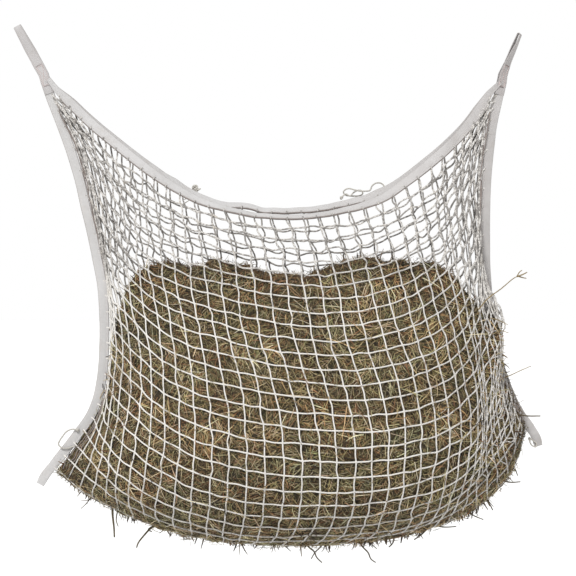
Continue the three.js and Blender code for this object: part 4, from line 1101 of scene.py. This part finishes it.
# ---------------------------------------------------------------------------
# hanging loops: one tape doubled over the hook, its two plies sewn over the corner of the bag
# ---------------------------------------------------------------------------
def hanging_loop(side, foot, tip, eye, flat_to_front):
    foot, tip = np.array(foot) * MM, np.array(tip) * MM
    d = tip - foot
    L = np.linalg.norm(d)
    d = d / L
    Y = np.array([0, 1.0, 0])
    across = np.cross(Y, d)
    across /= np.linalg.norm(across)
    sp, ss, st, sw, sn = STRAPS["side_" + side]
    down = 0.050
    ply = 0.0010
    R = eye + ply
    sewn = 0.030
    # distance along the loop (negative is below the foot) and half the spacing of the plies there
    s_leg = np.concatenate([np.linspace(-down, 0, 16, endpoint=False), np.linspace(0, L - eye - 0.002, 40)])
    gap = np.interp(s_leg, [-down, -0.02, 0.0, 0.014, 0.030, L - eye - 0.020, L - eye - 0.002],
                    [0.0042, 0.0041, 0.0034, 0.0021, 0.0013, R * 0.93, R])
    gap = np.where(s_leg > sewn, 0.0013 + (R - 0.0013) * smooth(s_leg, sewn, L - eye - 0.020), gap)
    arc = np.linspace(0, math.pi, 15)[1:-1]
    s_all = np.concatenate([s_leg, L - eye - 0.002 + R * np.sin(arc), s_leg[::-1]])
    g_all = np.concatenate([gap, R * np.cos(arc), -gap[::-1]])
    # centre line: straight along the loop, and down the side binding below the foot
    low = np.interp(-s_all, ss + np.linalg.norm(sp[0] - foot), np.arange(len(ss)))
    i = np.clip(np.floor(low).astype(int), 0, len(ss) - 2)
    f = (low - i)[:, None]
    on_side = sp[i] * (1 - f) + sp[i + 1] * f
    between = foot + (sp[0] - foot) * np.clip(-s_all / max(np.linalg.norm(sp[0] - foot), 1e-6), 0, 1)[:, None]
    below = np.where((-s_all > np.linalg.norm(sp[0] - foot))[:, None], on_side, between)
    C = np.where((s_all >= 0)[:, None], foot + d * s_all[:, None], below)
    side_dir = sw[i] * (1.0)
    if np.dot(side_dir[0], across) < 0:
        side_dir = -side_dir
    turn = smooth(-s_all, -0.012, 0.030)[:, None]
    if flat_to_front:  # width lies in the picture plane, plies spaced along Y
        W = unit(across * (1 - turn) + side_dir * turn)
        G = np.broadcast_to(Y, W.shape)
    else:  # width along Y at the top, turning flat at the corner
        q = np.interp(s_all, [-0.05, -0.02, 0.01, 0.05, 0.1], [1.4, 1.18, 0.9, 0.58, 0.34])[:, None]
        W = unit(Y * np.cos(q) + side_dir * np.sin(q))
        G = unit(-across * np.cos(q) + Y * np.sin(q))
    P = C + G * g_all[:, None]
    T = unit(np.gradient(P, axis=0))
    W = unit(W - (W * T).sum(-1, keepdims=True) * T)
    N = np.cross(W, T)
    S = np.concatenate([[0], np.cumsum(np.linalg.norm(np.diff(P, axis=0), axis=1))])
    # the tape is drawn narrower where it bears on the hook
    top = smooth(s_all, L - 0.055, L - 0.008)
    if flat_to_front:
        width = np.interp(s_all, [-down, -0.01, 0.03, 0.07, L], [0.97, 1.02, 1.10, 1.06, 0.80]) + 0.02 * noise(P, 0.02, 2)
    else:
        width = 1 - 0.30 * top + 0.02 * noise(P, 0.02, 2)
    from_end = np.minimum(S, S[-1] - S)
    thick = 0.35 + 0.65 * smooth(from_end, 0.0, 0.007)
    cup = 0.0011 * top
    prof = [(-12.2, 0), (-12.0, 0.7), (-11.0, 1.05), (-6, 0.95), (0, 0.9), (6, 0.95), (11.0, 1.05), (12.0, 0.7), (12.2, 0),
            (12.0, -0.7), (11.0, -1.05), (6, -0.95), (0, -0.9), (-6, -0.95), (-11.0, -1.05), (-12.0, -0.7)]
    P = wavy(P, W, N, 0.0004, 0.03)
    o = profile_mesh(f"loop_webbing_{side}", P, W, N, S, prof, LOOP_WEB, width=width, thick=thick)
    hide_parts(f"hang_loop_{side}")
    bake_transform(o)
    # box and cross of dense stitching through both plies, and a satin bar above it
    soup = Soup()
    n_leg = len(s_leg)
    for first, last, sign in ((0, n_leg, 1.0), (len(P) - n_leg, len(P), -1.0)):
        leg_p, leg_w, leg_t, leg_s = P[first:last], W[first:last], T[first:last], s_all[first:last]
        leg_g = G[first:last] * np.sign(g_all[first:last])[:, None]
        if leg_s[0] > leg_s[-1]:
            leg_p, leg_w, leg_t, leg_s, leg_g = (a[::-1] for a in (leg_p, leg_w, leg_t, leg_s, leg_g))

        def place(a, s_at):
            """a across the tape, s_at along it, on the outer face of this ply."""
            a, s_at = np.asarray(a, float), np.asarray(s_at, float)
            x = np.interp(s_at, leg_s, np.arange(len(leg_s)))
            i = np.clip(np.floor(x).astype(int), 0, len(leg_s) - 2)
            f = (x - i)[..., None]
            get = lambda A: A[i] * (1 - f) + A[i + 1] * f
            return get(leg_p) + get(leg_w) * a[..., None] + get(leg_g) * 0.00125

        for s_at in (0.0255, -0.0300):  # satin bars
            q = np.arange(41)
            tubes(soup, place(np.linspace(-0.0086, 0.0086, 41), s_at + 0.0011 * np.where(q % 2 == 0, 1, -1)), 0.00034, sides=5)
        box = [(-0.0084, -0.0270), (-0.0084, 0.0225), (0.0084, 0.0225), (0.0084, -0.0270), (-0.0084, -0.0270), (0.0084, 0.0225)]
        box2 = [(-0.0084, 0.0225), (0.0084, -0.0270)]
        for poly in (box, box2):
            for (a0, s0), (a1, s1) in zip(poly[:-1], poly[1:]):
                run = math.hypot(a1 - a0, s1 - s0)
                count = max(2, int(run / 0.0034))
                for m in range(count):
                    f0, f1 = (m + 0.12) / count, (m + 0.88) / count
                    q = np.linspace(f0, f1, 4)
                    path = place(a0 + (a1 - a0) * q, s0 + (s1 - s0) * q)
                    tubes(soup, path, np.array([[0.00034, 0.00052, 0.00052, 0.00034]]), sides=5)
    o = soup.mesh(f"corner_stitching_{side}", TACK)
    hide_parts(f"bartack_{side}")
    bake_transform(o)


hanging_loop("left", (-574.5, 0, -112.5), (-641, 0, 9), 0.0075, True)
hanging_loop("right", (573, 0, -114), (616, 0, -9), 0.0031, False)


# ---------------------------------------------------------------------------
# hay
# ---------------------------------------------------------------------------
NC, NF, NB, NT = 172, 66, 7, 13
_c = np.linspace(0.12, COLUMNS - 0.12, NC)[:, None]
_top = hay_row(_c[:, 0])[:, None]
_r = _top + (ROWS - _top) * np.linspace(0, 1, NF)[None] ** 0.97
cgrid = np.broadcast_to(_c, _r.shape)
net_f, net_r = on_net("front", cgrid, _r, False), on_net("rear", cgrid, _r, False)


def grid_normal(g):
    a = np.gradient(g, axis=0)
    b = np.gradient(g, axis=1)
    return unit(np.cross(a, b))


room = np.maximum(np.linalg.norm(net_r - net_f, axis=-1), 1e-4)
pillow = np.abs(np.sin(np.pi * cgrid) * np.sin(np.pi * _r)) ** 0.7


def inset(g):
    d = 0.0080 - 0.0075 * smooth(_r, 24.6, 26.0) - 0.0045 * pillow + 0.0050 * noise(g, 0.055, 3) + 0.0025 * noise(g + 9.0, 0.014, 2)
    return np.minimum(np.maximum(d, -0.0015), 0.42 * room)[..., None]


hay_f = net_f + grid_normal(net_f) * inset(net_f)
hay_r = net_r - grid_normal(net_r) * inset(net_r)
t = np.linspace(0, 1, NB + 2)[1:-1][None, :, None]
hay_b = hay_f[:, -1:] * (1 - t) + hay_r[:, -1:] * t
hay_b[..., 2] -= (0.004 * np.sin(np.pi * t))[..., 0]
hay_b[..., 2] += 0.0055 * noise(hay_b, 0.025, 3)
t = np.linspace(0, 1, NT + 2)[1:-1][None, :, None]
hay_t = hay_r[:, :1] * (1 - t) + hay_f[:, :1] * t
width_t = np.minimum(np.linalg.norm(hay_f[:, :1] - hay_r[:, :1], axis=-1)[..., None] / 0.12, 1.0)
hay_t[..., 2] += ((0.014 * np.sin(np.pi * t) + 0.0) * width_t)[..., 0]
hay_t[..., 2] += (0.020 * noise(hay_t, 0.035, 3) + 0.008 * noise(hay_t + 3, 0.014, 2)) * width_t[..., 0] * (np.sin(np.pi * t) ** 0.5)[..., 0]
loop = np.concatenate([hay_f, hay_b, hay_r[:, ::-1], hay_t], axis=1)
NS = loop.shape[1]
i = np.arange(NC - 1)[:, None] * NS
j = np.arange(NS)[None]
j2 = (j + 1) % NS
quads = np.stack([i + j, i + j2, i + NS + j2, i + NS + j], -1).reshape(-1, 4)
flat = loop.reshape(-1, 3)


def volume(v, q):
    a, b, c, d = (v[q[:, m]] for m in range(4))
    return float((np.einsum("ij,ij->i", a, np.cross(b, c)) + np.einsum("ij,ij->i", a, np.cross(c, d))).sum())


if volume(flat, quads) < 0:
    quads = quads[:, ::-1]
    caps = np.array([np.arange(NS), (NC - 1) * NS + np.arange(NS)[::-1]])
else:
    caps = np.array([np.arange(NS)[::-1], (NC - 1) * NS + np.arange(NS)])
soup = Soup()
soup.add(flat, [quads, caps], [np.zeros((len(quads), 4, 2)), np.zeros((2, NS, 2))])
core = soup.mesh("hay_mass", CORE)
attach(core, "bag")
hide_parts("hay_fill")

# where a stalk can lie: every facet of the mass, with its size, facing and place
qa, qb, qc, qd = (flat[quads[:, m]] for m in range(4))
q_normal = np.cross(qc - qa, qd - qb)
q_area = np.linalg.norm(q_normal, axis=1) / 2
q_normal = unit(q_normal)
q_col = quads.min(axis=1) // NS
q_s = quads.min(axis=1) % NS
zone = np.where(q_s < NF, 0, np.where(q_s < NF + NB, 1, np.where(q_s < 2 * NF + NB, 2, 3)))
zone = np.where(np.abs(quads.max(axis=1) % NS - q_s) > NS / 2, 3, zone)
q_centre = (qa + qb + qc + qd) / 4
q_c = np.interp(q_col, [0, NC - 1], [0.12, COLUMNS - 0.12])


def choose(count, weight):
    w = q_area * weight
    pick = rng.choice(len(w), count, p=w / w.sum())
    u, v = rng.random((2, count, 1))
    base = qa[pick] * (1 - u) * (1 - v) + qb[pick] * u * (1 - v) + qc[pick] * u * v + qd[pick] * (1 - u) * v
    return pick, base


def palette(count, colours, spread=0.21):
    colours = np.array(colours)
    c = colours[rng.integers(0, len(colours), count)]
    c = c * np.exp(rng.normal(0, spread, (count, 1))) * np.exp(rng.normal(0, 0.045, (count, 3)))
    return np.clip(c, 0.004, 0.9)


# painted shade: the outline and the fold are painted darker than the flat sides, the right-hand side most of all; the
# top of the heap is darker too
rim = np.where(zone == 1, 0.60, np.where(zone == 3, 0.70, 1.0)) * np.interp(q_c, [1.0, 2.2, 32.6, 34.2], [0.85, 1.0, 1.0, 0.68])


def mottle(p):
    """Hollows and flakes: the hay is darker, redder or paler from one hand's breadth to the next."""
    dark = np.exp(0.62 * noise(p + 5.0, 0.050, 3) - 0.02)
    red = noise(p + 90.0, 0.065, 2)
    return dark[:, None] * np.stack([1 + 0.10 * red, 1 - 0.04 * red, 1 - 0.14 * red], -1)


def lay_stalks(soup, count, weight, length, radius, colours, points=3, sides=3, flat_range=(0.25, 0.6), lift=(-0.0015, 0.0045),
               over=0.03, spread=0.75, tilt=0.10, curl=0.12, taper=0.45):
    pick, base = choose(count, weight)
    n = q_normal[pick]
    e1 = np.cross(np.array([0.0, 0.0, 1.0]), n)
    e1 = unit(e1 + 1e-6)
    e2 = np.cross(n, e1)
    angle = 5.6 * noise(base, 0.085, 2) + rng.normal(0, spread, count)
    d = e1 * np.cos(angle)[:, None] + e2 * np.sin(angle)[:, None]
    b = np.cross(n, d)
    L = np.clip(np.exp(rng.normal(math.log(length), 0.38, count)), length * 0.35, length * 2.6)
    edge = (zone[pick] == 1) | (q_c[pick] < 2.0) | (q_c[pick] > 33.2)
    L = np.where(edge, np.minimum(L, 0.035), L)
    s = np.linspace(-0.5, 0.5, points)[None]
    off = rng.uniform(*lift, count)
    off = np.where(rng.random(count) < over, rng.uniform(0.0085, 0.0125, count), off)
    slope = rng.normal(0, tilt, count)
    bend = rng.normal(0, curl, count)
    arch = np.abs(rng.normal(0, 0.05, count)) - 0.01
    x = s * L[:, None]
    out = off[:, None] + slope[:, None] * x * 0.5 - x * x / (2 * 0.34) - arch[:, None] * L[:, None] * (4 * s * s - 0.3)
    path = (base[:, None] + d[:, None] * x[..., None] + b[:, None] * (bend[:, None] * L[:, None] * (4 * s * s - 0.33) * 0.5)[..., None]
            + n[:, None] * out[..., None])
    r = rng.uniform(*radius, count)[:, None] * (1 - taper * np.abs(s * 2 + rng.choice([-1.0, 1.0], (count, 1)) * 0.35).clip(0, 1) ** 1.5)
    tubes(soup, path, r, sides=sides, flat=rng.uniform(*flat_range, count), seed=n + rng.normal(0, 0.5, n.shape),
          colour=np.clip(palette(count, colours) * mottle(base) * rim[pick][:, None], 0.004, 0.9), along=rng.uniform(0, 40, (count, 1)) + (x - x.min(axis=1, keepdims=True)))


facing = np.where(zone == 0, 1.0, np.where(zone == 1, 1.0, np.where(zone == 2, 0.62, 1.25)))
patch_a = noise(q_centre, 0.11, 3)
patch_b = noise(q_centre + 31.0, 0.06, 3)

height = np.clip((q_centre[:, 2] + 0.74) / 0.12, 0, 1)  # the top of the heap is browner

OLIVE = stalk_material("hay_olive", (0.66, 0.63, 0.55), (1.12, 1.12, 1.05))
BROWN = stalk_material("hay_brown", (0.62, 0.56, 0.5), (1.15, 1.08, 1.0))
TAN = stalk_material("hay_tan", (0.7, 0.66, 0.58), (1.12, 1.1, 1.05))
STRAW = stalk_material("hay_straw", (0.74, 0.7, 0.6), (1.1, 1.08, 1.04))
SHADE = stalk_material("hay_shade", (0.6, 0.56, 0.5), (1.1, 1.05, 1.0))

GROUPS = [
    ("hay_leaf_olive", OLIVE, 13000, facing * (1.1 + 0.9 * patch_a - 0.5 * height).clip(0.25, 3), 0.019, (0.0010, 0.0020), 3, 3,
     [(0.25, 0.205, 0.095), (0.31, 0.26, 0.13), (0.19, 0.165, 0.07), (0.36, 0.31, 0.17)], {"lift": (-0.0035, 0.0012), "over": 0.0, "flat_range": (0.2, 0.4)}),
    ("hay_leaf_brown", BROWN, 12000, facing * (1.0 - 1.4 * patch_a + 0.9 * height).clip(0.2, 3), 0.018, (0.0010, 0.0021), 3, 3,
     [(0.27, 0.155, 0.075), (0.19, 0.11, 0.052), (0.34, 0.215, 0.11), (0.23, 0.155, 0.075)], {"lift": (-0.0035, 0.0012), "over": 0.0, "flat_range": (0.2, 0.4)}),
    # painted shade: the near-black SHADE stalks stand for the shade in the gaps between stalks
    ("hay_leaf_dark", SHADE, 7000, facing * (1.0 + 0.8 * patch_b).clip(0.2, 3), 0.017, (0.0010, 0.0022), 3, 3,
     [(0.09, 0.065, 0.032), (0.12, 0.085, 0.042), (0.065, 0.048, 0.024)], {"lift": (-0.003, 0.0022), "over": 0.0, "flat_range": (0.2, 0.45)}),
    ("hay_fibre_olive", OLIVE, 13000, facing * (1.1 + 0.9 * patch_a - 0.6 * height).clip(0.2, 3), 0.028, (0.0006, 0.00120), 3, 3,
     [(0.31, 0.26, 0.125), (0.39, 0.335, 0.175), (0.23, 0.20, 0.09), (0.45, 0.39, 0.22)], {}),
    ("hay_fibre_brown", BROWN, 8500, facing * (0.9 - 1.5 * patch_a + 0.9 * height).clip(0.15, 3), 0.027, (0.0006, 0.0013), 3, 3,
     [(0.36, 0.205, 0.10), (0.26, 0.145, 0.07), (0.43, 0.27, 0.14), (0.30, 0.20, 0.10)], {}),
    ("hay_fibre_shade", SHADE, 5000, facing * (1.0 + 1.4 * patch_b).clip(0.2, 3), 0.024, (0.0008, 0.0016), 3, 3,
     [(0.034, 0.024, 0.012), (0.052, 0.038, 0.018), (0.026, 0.022, 0.010)], {"lift": (-0.002, 0.0040)}),
    ("hay_blades_tan", TAN, 12500, facing * (1.0 + 0.9 * patch_b - 0.3 * height).clip(0.3, 3) * np.where(zone == 3, 0.45, 1.0), 0.030, (0.0005, 0.0010), 3, 3,
     [(0.56, 0.48, 0.31), (0.49, 0.42, 0.26), (0.62, 0.55, 0.39), (0.44, 0.395, 0.23)], {"over": 0.04}),
    ("hay_stems_straw", STRAW, 1500, facing * (1.0 - 0.8 * patch_b).clip(0.3, 3) * np.where(zone == 3, 0.5, 1.0), 0.044, (0.0006, 0.0012), 6, 5,
     [(0.64, 0.56, 0.40), (0.72, 0.64, 0.48), (0.58, 0.50, 0.34), (0.54, 0.40, 0.23)],
     {"flat_range": (0.6, 1.0), "over": 0.08, "lift": (0.001, 0.0055), "curl": 0.08, "tilt": 0.12}),
]
for name, material, count, weight, length, radius, points, sides, colours, more in GROUPS:
    soup = Soup()
    lay_stalks(soup, count, weight, length, radius, colours, points, sides, **more)
    o = soup.mesh(name, material, tint=True)
    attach(o, "bag")

# ends that stick out through the netting: along the fold, the right-hand side and the top of the heap
soup = Soup()


def sprigs(count, base, outward, length, spread, radius=(0.0005, 0.0011), colours=((0.20, 0.15, 0.07), (0.13, 0.095, 0.045), (0.3, 0.23, 0.12))):
    d = unit(outward + rng.normal(0, spread, (count, 3)))
    L = np.clip(np.exp(rng.normal(math.log(length), 0.42, count)), length * 0.4, length * 2.3)
    s = np.linspace(0, 1, 5)[None]
    side = unit(np.cross(d, rng.normal(0, 1, (count, 3))))
    bend = rng.normal(0, 0.34, count)
    path = base[:, None] + d[:, None] * (s * L[:, None])[..., None] + side[:, None] * (bend[:, None] * L[:, None] * s * s)[..., None]
    r = rng.uniform(*radius, count)[:, None] * (1 - 0.6 * s**1.5)
    tubes(soup, path, r, sides=4, flat=rng.uniform(0.4, 1.0, count), seed=side, colour=palette(count, colours), along=rng.uniform(0, 40, (count, 1)) + s * L[:, None])


DARK = ((0.075, 0.05, 0.028), (0.045, 0.032, 0.020), (0.12, 0.08, 0.04))
clear = np.linalg.norm(q_centre - np.array([0.640, 0.0, -1.030]), axis=1) > 0.068  # the tie cord on the right tail swings here
edge_low = ((zone == 1) * 1.0 + ((zone == 0) | (zone == 2)) * (q_centre[:, 2] < -1.225) * 0.25) * clear
pick, base = choose(300, edge_low)
sprigs(300, base - q_normal[pick] * 0.004, np.array([0.05, -0.1, -1.0]) + q_normal[pick] * 0.5, 0.0155, 0.55, (0.0006, 0.0013),
       ((0.13, 0.09, 0.045), (0.085, 0.06, 0.032), (0.19, 0.14, 0.07)))
clump = noise(q_centre + 77.0, 0.030, 2)
pick, base = choose(460, edge_low * (0.10 + (clump > 0.18) * 2.2))
sprigs(460, base - q_normal[pick] * 0.003, np.array([0.15, -0.1, -1.0]) + q_normal[pick] * 0.4, 0.0150, 0.7, (0.0014, 0.0030), DARK)
right = ((q_c > 31.0) & (zone != 3) & (q_centre[:, 2] < -0.70) & clear) * np.where(q_c > 33, 3.0, 1.0)
pick, base = choose(200, right)
sprigs(200, base - q_normal[pick] * 0.004, np.array([0.8, 0.0, -0.15]) + q_normal[pick] * 0.4, 0.0155, 0.5, (0.0006, 0.0013),
       ((0.13, 0.09, 0.045), (0.085, 0.06, 0.032), (0.19, 0.14, 0.07)))
pick, base = choose(230, right * (0.15 + (clump > 0.10) * 1.8))
sprigs(230, base - q_normal[pick] * 0.003, np.array([0.8, 0.0, -0.15]) + q_normal[pick] * 0.4, 0.0150, 0.6, (0.0011, 0.0024), DARK)
pick, base = choose(90, ((q_c < 2.2) & (zone != 3) & (q_centre[:, 2] < -0.95)) * 1.0)
sprigs(90, base - q_normal[pick] * 0.004, np.array([-0.3, 0.0, -0.6]) + q_normal[pick] * 0.4, 0.011, 0.5, (0.0007, 0.0014), DARK)
pick, base = choose(230, (zone == 3) * 1.0)
sprigs(230, base - q_normal[pick] * 0.006, np.array([0.0, 0.0, 0.6]), 0.018, 0.75, colours=((0.22, 0.165, 0.08), (0.28, 0.21, 0.11), (0.15, 0.11, 0.055)))
pick, base = choose(900, (zone == 3) * (0.35 + (patch_b > 0.0) * 1.3))
sprigs(900, base - q_normal[pick] * 0.004, np.array([0.0, 0.0, 0.5]), 0.0155, 0.9, (0.0009, 0.0020), ((0.16, 0.095, 0.045), (0.10, 0.062, 0.032), (0.23, 0.15, 0.075)))

# the longer single stalks, one by one
STRAYS = [
    ([(0.505, -0.075, -0.700), (0.527, -0.080, -0.673), (0.560, -0.084, -0.648), (0.592, -0.086, -0.6215), (0.604, -0.086, -0.616)], 0.0013),
    ([(0.600, -0.086, -0.618), (0.613, -0.088, -0.613), (0.6235, -0.089, -0.6075)], 0.0016),
    ([(0.601, -0.086, -0.617), (0.612, -0.083, -0.6205), (0.6225, -0.081, -0.6225)], 0.0014),
    ([(0.598, -0.086, -0.6195), (0.605, -0.088, -0.607), (0.611, -0.090, -0.6025)], 0.0012),
    ([(0.560, -0.060, -0.944), (0.590, -0.062, -0.955), (0.625, -0.060, -0.962), (0.660, -0.058, -0.9625)], 0.0013),
    ([(0.555, -0.060, -0.872), (0.580, -0.062, -0.864), (0.610, -0.064, -0.850), (0.636, -0.062, -0.839)], 0.0011),
    ([(0.535, -0.070, -0.720), (0.556, -0.074, -0.726), (0.578, -0.076, -0.737)], 0.0010),
    ([(0.540, -0.070, -0.760), (0.562, -0.072, -0.752), (0.580, -0.074, -0.757)], 0.0010),
    ([(-0.401, -0.020, -1.190), (-0.400, -0.022, -1.214), (-0.397, -0.021, -1.242), (-0.396, -0.020, -1.267)], 0.0017),
    ([(-0.388, -0.022, -1.200), (-0.391, -0.024, -1.224), (-0.386, -0.024, -1.240)], 0.0009),
    ([(-0.285, -0.020, -1.232), (-0.306, -0.022, -1.245), (-0.322, -0.022, -1.262), (-0.336, -0.020, -1.280), (-0.341, -0.018, -1.293)], 0.0015),
    ([(-0.300, -0.010, -1.240), (-0.312, -0.012, -1.249), (-0.303, -0.012, -1.254)], 0.0012),
    ([(0.078, -0.012, -1.276), (0.088, -0.014, -1.292), (0.101, -0.014, -1.303), (0.108, -0.014, -1.318), (0.121, -0.014, -1.331)], 0.0013),
    ([(0.120, -0.010, -1.278), (0.116, -0.012, -1.293), (0.104, -0.012, -1.305), (0.094, -0.012, -1.322)], 0.0011),
    ([(0.135, -0.016, -1.276), (0.141, -0.016, -1.292), (0.137, -0.014, -1.307)], 0.0009),
    ([(0.211, -0.014, -1.270), (0.221, -0.014, -1.290), (0.236, -0.014, -1.306), (0.243, -0.012, -1.322), (0.255, -0.012, -1.331)], 0.0012),
    ([(0.236, -0.010, -1.268), (0.244, -0.010, -1.284), (0.258, -0.010, -1.297)], 0.0010),
    ([(0.298, -0.018, -1.258), (0.300, -0.018, -1.272), (0.296, -0.018, -1.283), (0.287, -0.018, -1.292)], 0.0013),
    ([(0.380, -0.020, -1.248), (0.366, -0.020, -1.262), (0.350, -0.020, -1.273)], 0.0014),
    ([(0.398, -0.024, -1.236), (0.424, -0.024, -1.241), (0.455, -0.022, -1.240)], 0.0011),
    ([(0.472, -0.030, -1.196), (0.498, -0.030, -1.212), (0.522, -0.028, -1.222)], 0.0010),
    ([(0.520, -0.034, -1.165), (0.536, -0.034, -1.182), (0.545, -0.032, -1.198)], 0.0012),
    ([(0.566, -0.040, -1.122), (0.586, -0.040, -1.128), (0.613, -0.038, -1.127)], 0.0011),
    ([(0.585, -0.040, -1.086), (0.600, -0.040, -1.098), (0.606, -0.038, -1.112)], 0.0010),
]
for pts, r in STRAYS:
    line, _ = centripetal(pts, 6)
    q = np.linspace(0, 1, len(line))
    shade = 0.85 if pts[0][0] > 0.45 and pts[0][2] > -0.9 else 0.30
    tubes(soup, line, ((1.3 if shade > 0.5 else 1.9) * r * (1 - 0.40 * q))[None], sides=5, flat=0.75, colour=np.array([[0.30, 0.235, 0.125]]) * shade, along=(10 + q * 0.1)[None])
o = soup.mesh("hay_loose_ends", STRAW, tint=True)
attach(o, "bag")


# ---------------------------------------------------------------------------
# floor and light
# ---------------------------------------------------------------------------
me = bpy.data.meshes.new("floor")
me.from_pydata([(-60, -60, -1.72), (60, -60, -1.72), (60, 60, -1.72), (-60, 60, -1.72)], [], [(0, 1, 2, 3)])
floor = bpy.data.objects.new("floor", me)
scene.collection.objects.link(floor)
k = Nodes("floor_paper")
k.put(k.bsdf.inputs["Base Color"], k.ramp(k.noise(1.6, 3.0), [(0.3, (0.90, 0.90, 0.895)), (0.7, (0.925, 0.925, 0.92))]))
k.bsdf.inputs["Roughness"].default_value = 0.95
k.bsdf.inputs["Specular IOR Level"].default_value = 0.1
me.materials.append(k.m)

world = bpy.data.worlds.new("studio")
scene.world = world
world.use_nodes = True
sky = world.node_tree.nodes["Background"]
sky.inputs["Color"].default_value = (1.0, 1.0, 1.0, 1)
# the paper behind the object is white; the light it gives the object is softer than that
seen = world.node_tree.nodes.new("ShaderNodeLightPath")
level = world.node_tree.nodes.new("ShaderNodeMapRange")
level.inputs["To Min"].default_value = 0.55
level.inputs["To Max"].default_value = 1.0
world.node_tree.links.new(seen.outputs["Is Camera Ray"], level.inputs["Value"])
world.node_tree.links.new(level.outputs[0], sky.inputs["Strength"])


def sun(name, direction, strength, angle, colour=(1, 1, 1)):
    data = bpy.data.lights.new(name, "SUN")
    data.energy, data.angle, data.color = strength, math.radians(angle), colour
    o = bpy.data.objects.new(name, data)
    o.rotation_mode = "QUATERNION"
    o.rotation_quaternion = (-Vector(direction)).to_track_quat("-Z", "Y")
    scene.collection.objects.link(o)


sun("key", (-0.45, -0.9, 1.0), 2.9, 16)
sun("fill", (0.8, -0.8, 0.35), 0.35, 60)
sun("back", (0.35, 1.0, 0.55), 0.55, 60)
scene.view_settings.view_transform = "Standard"
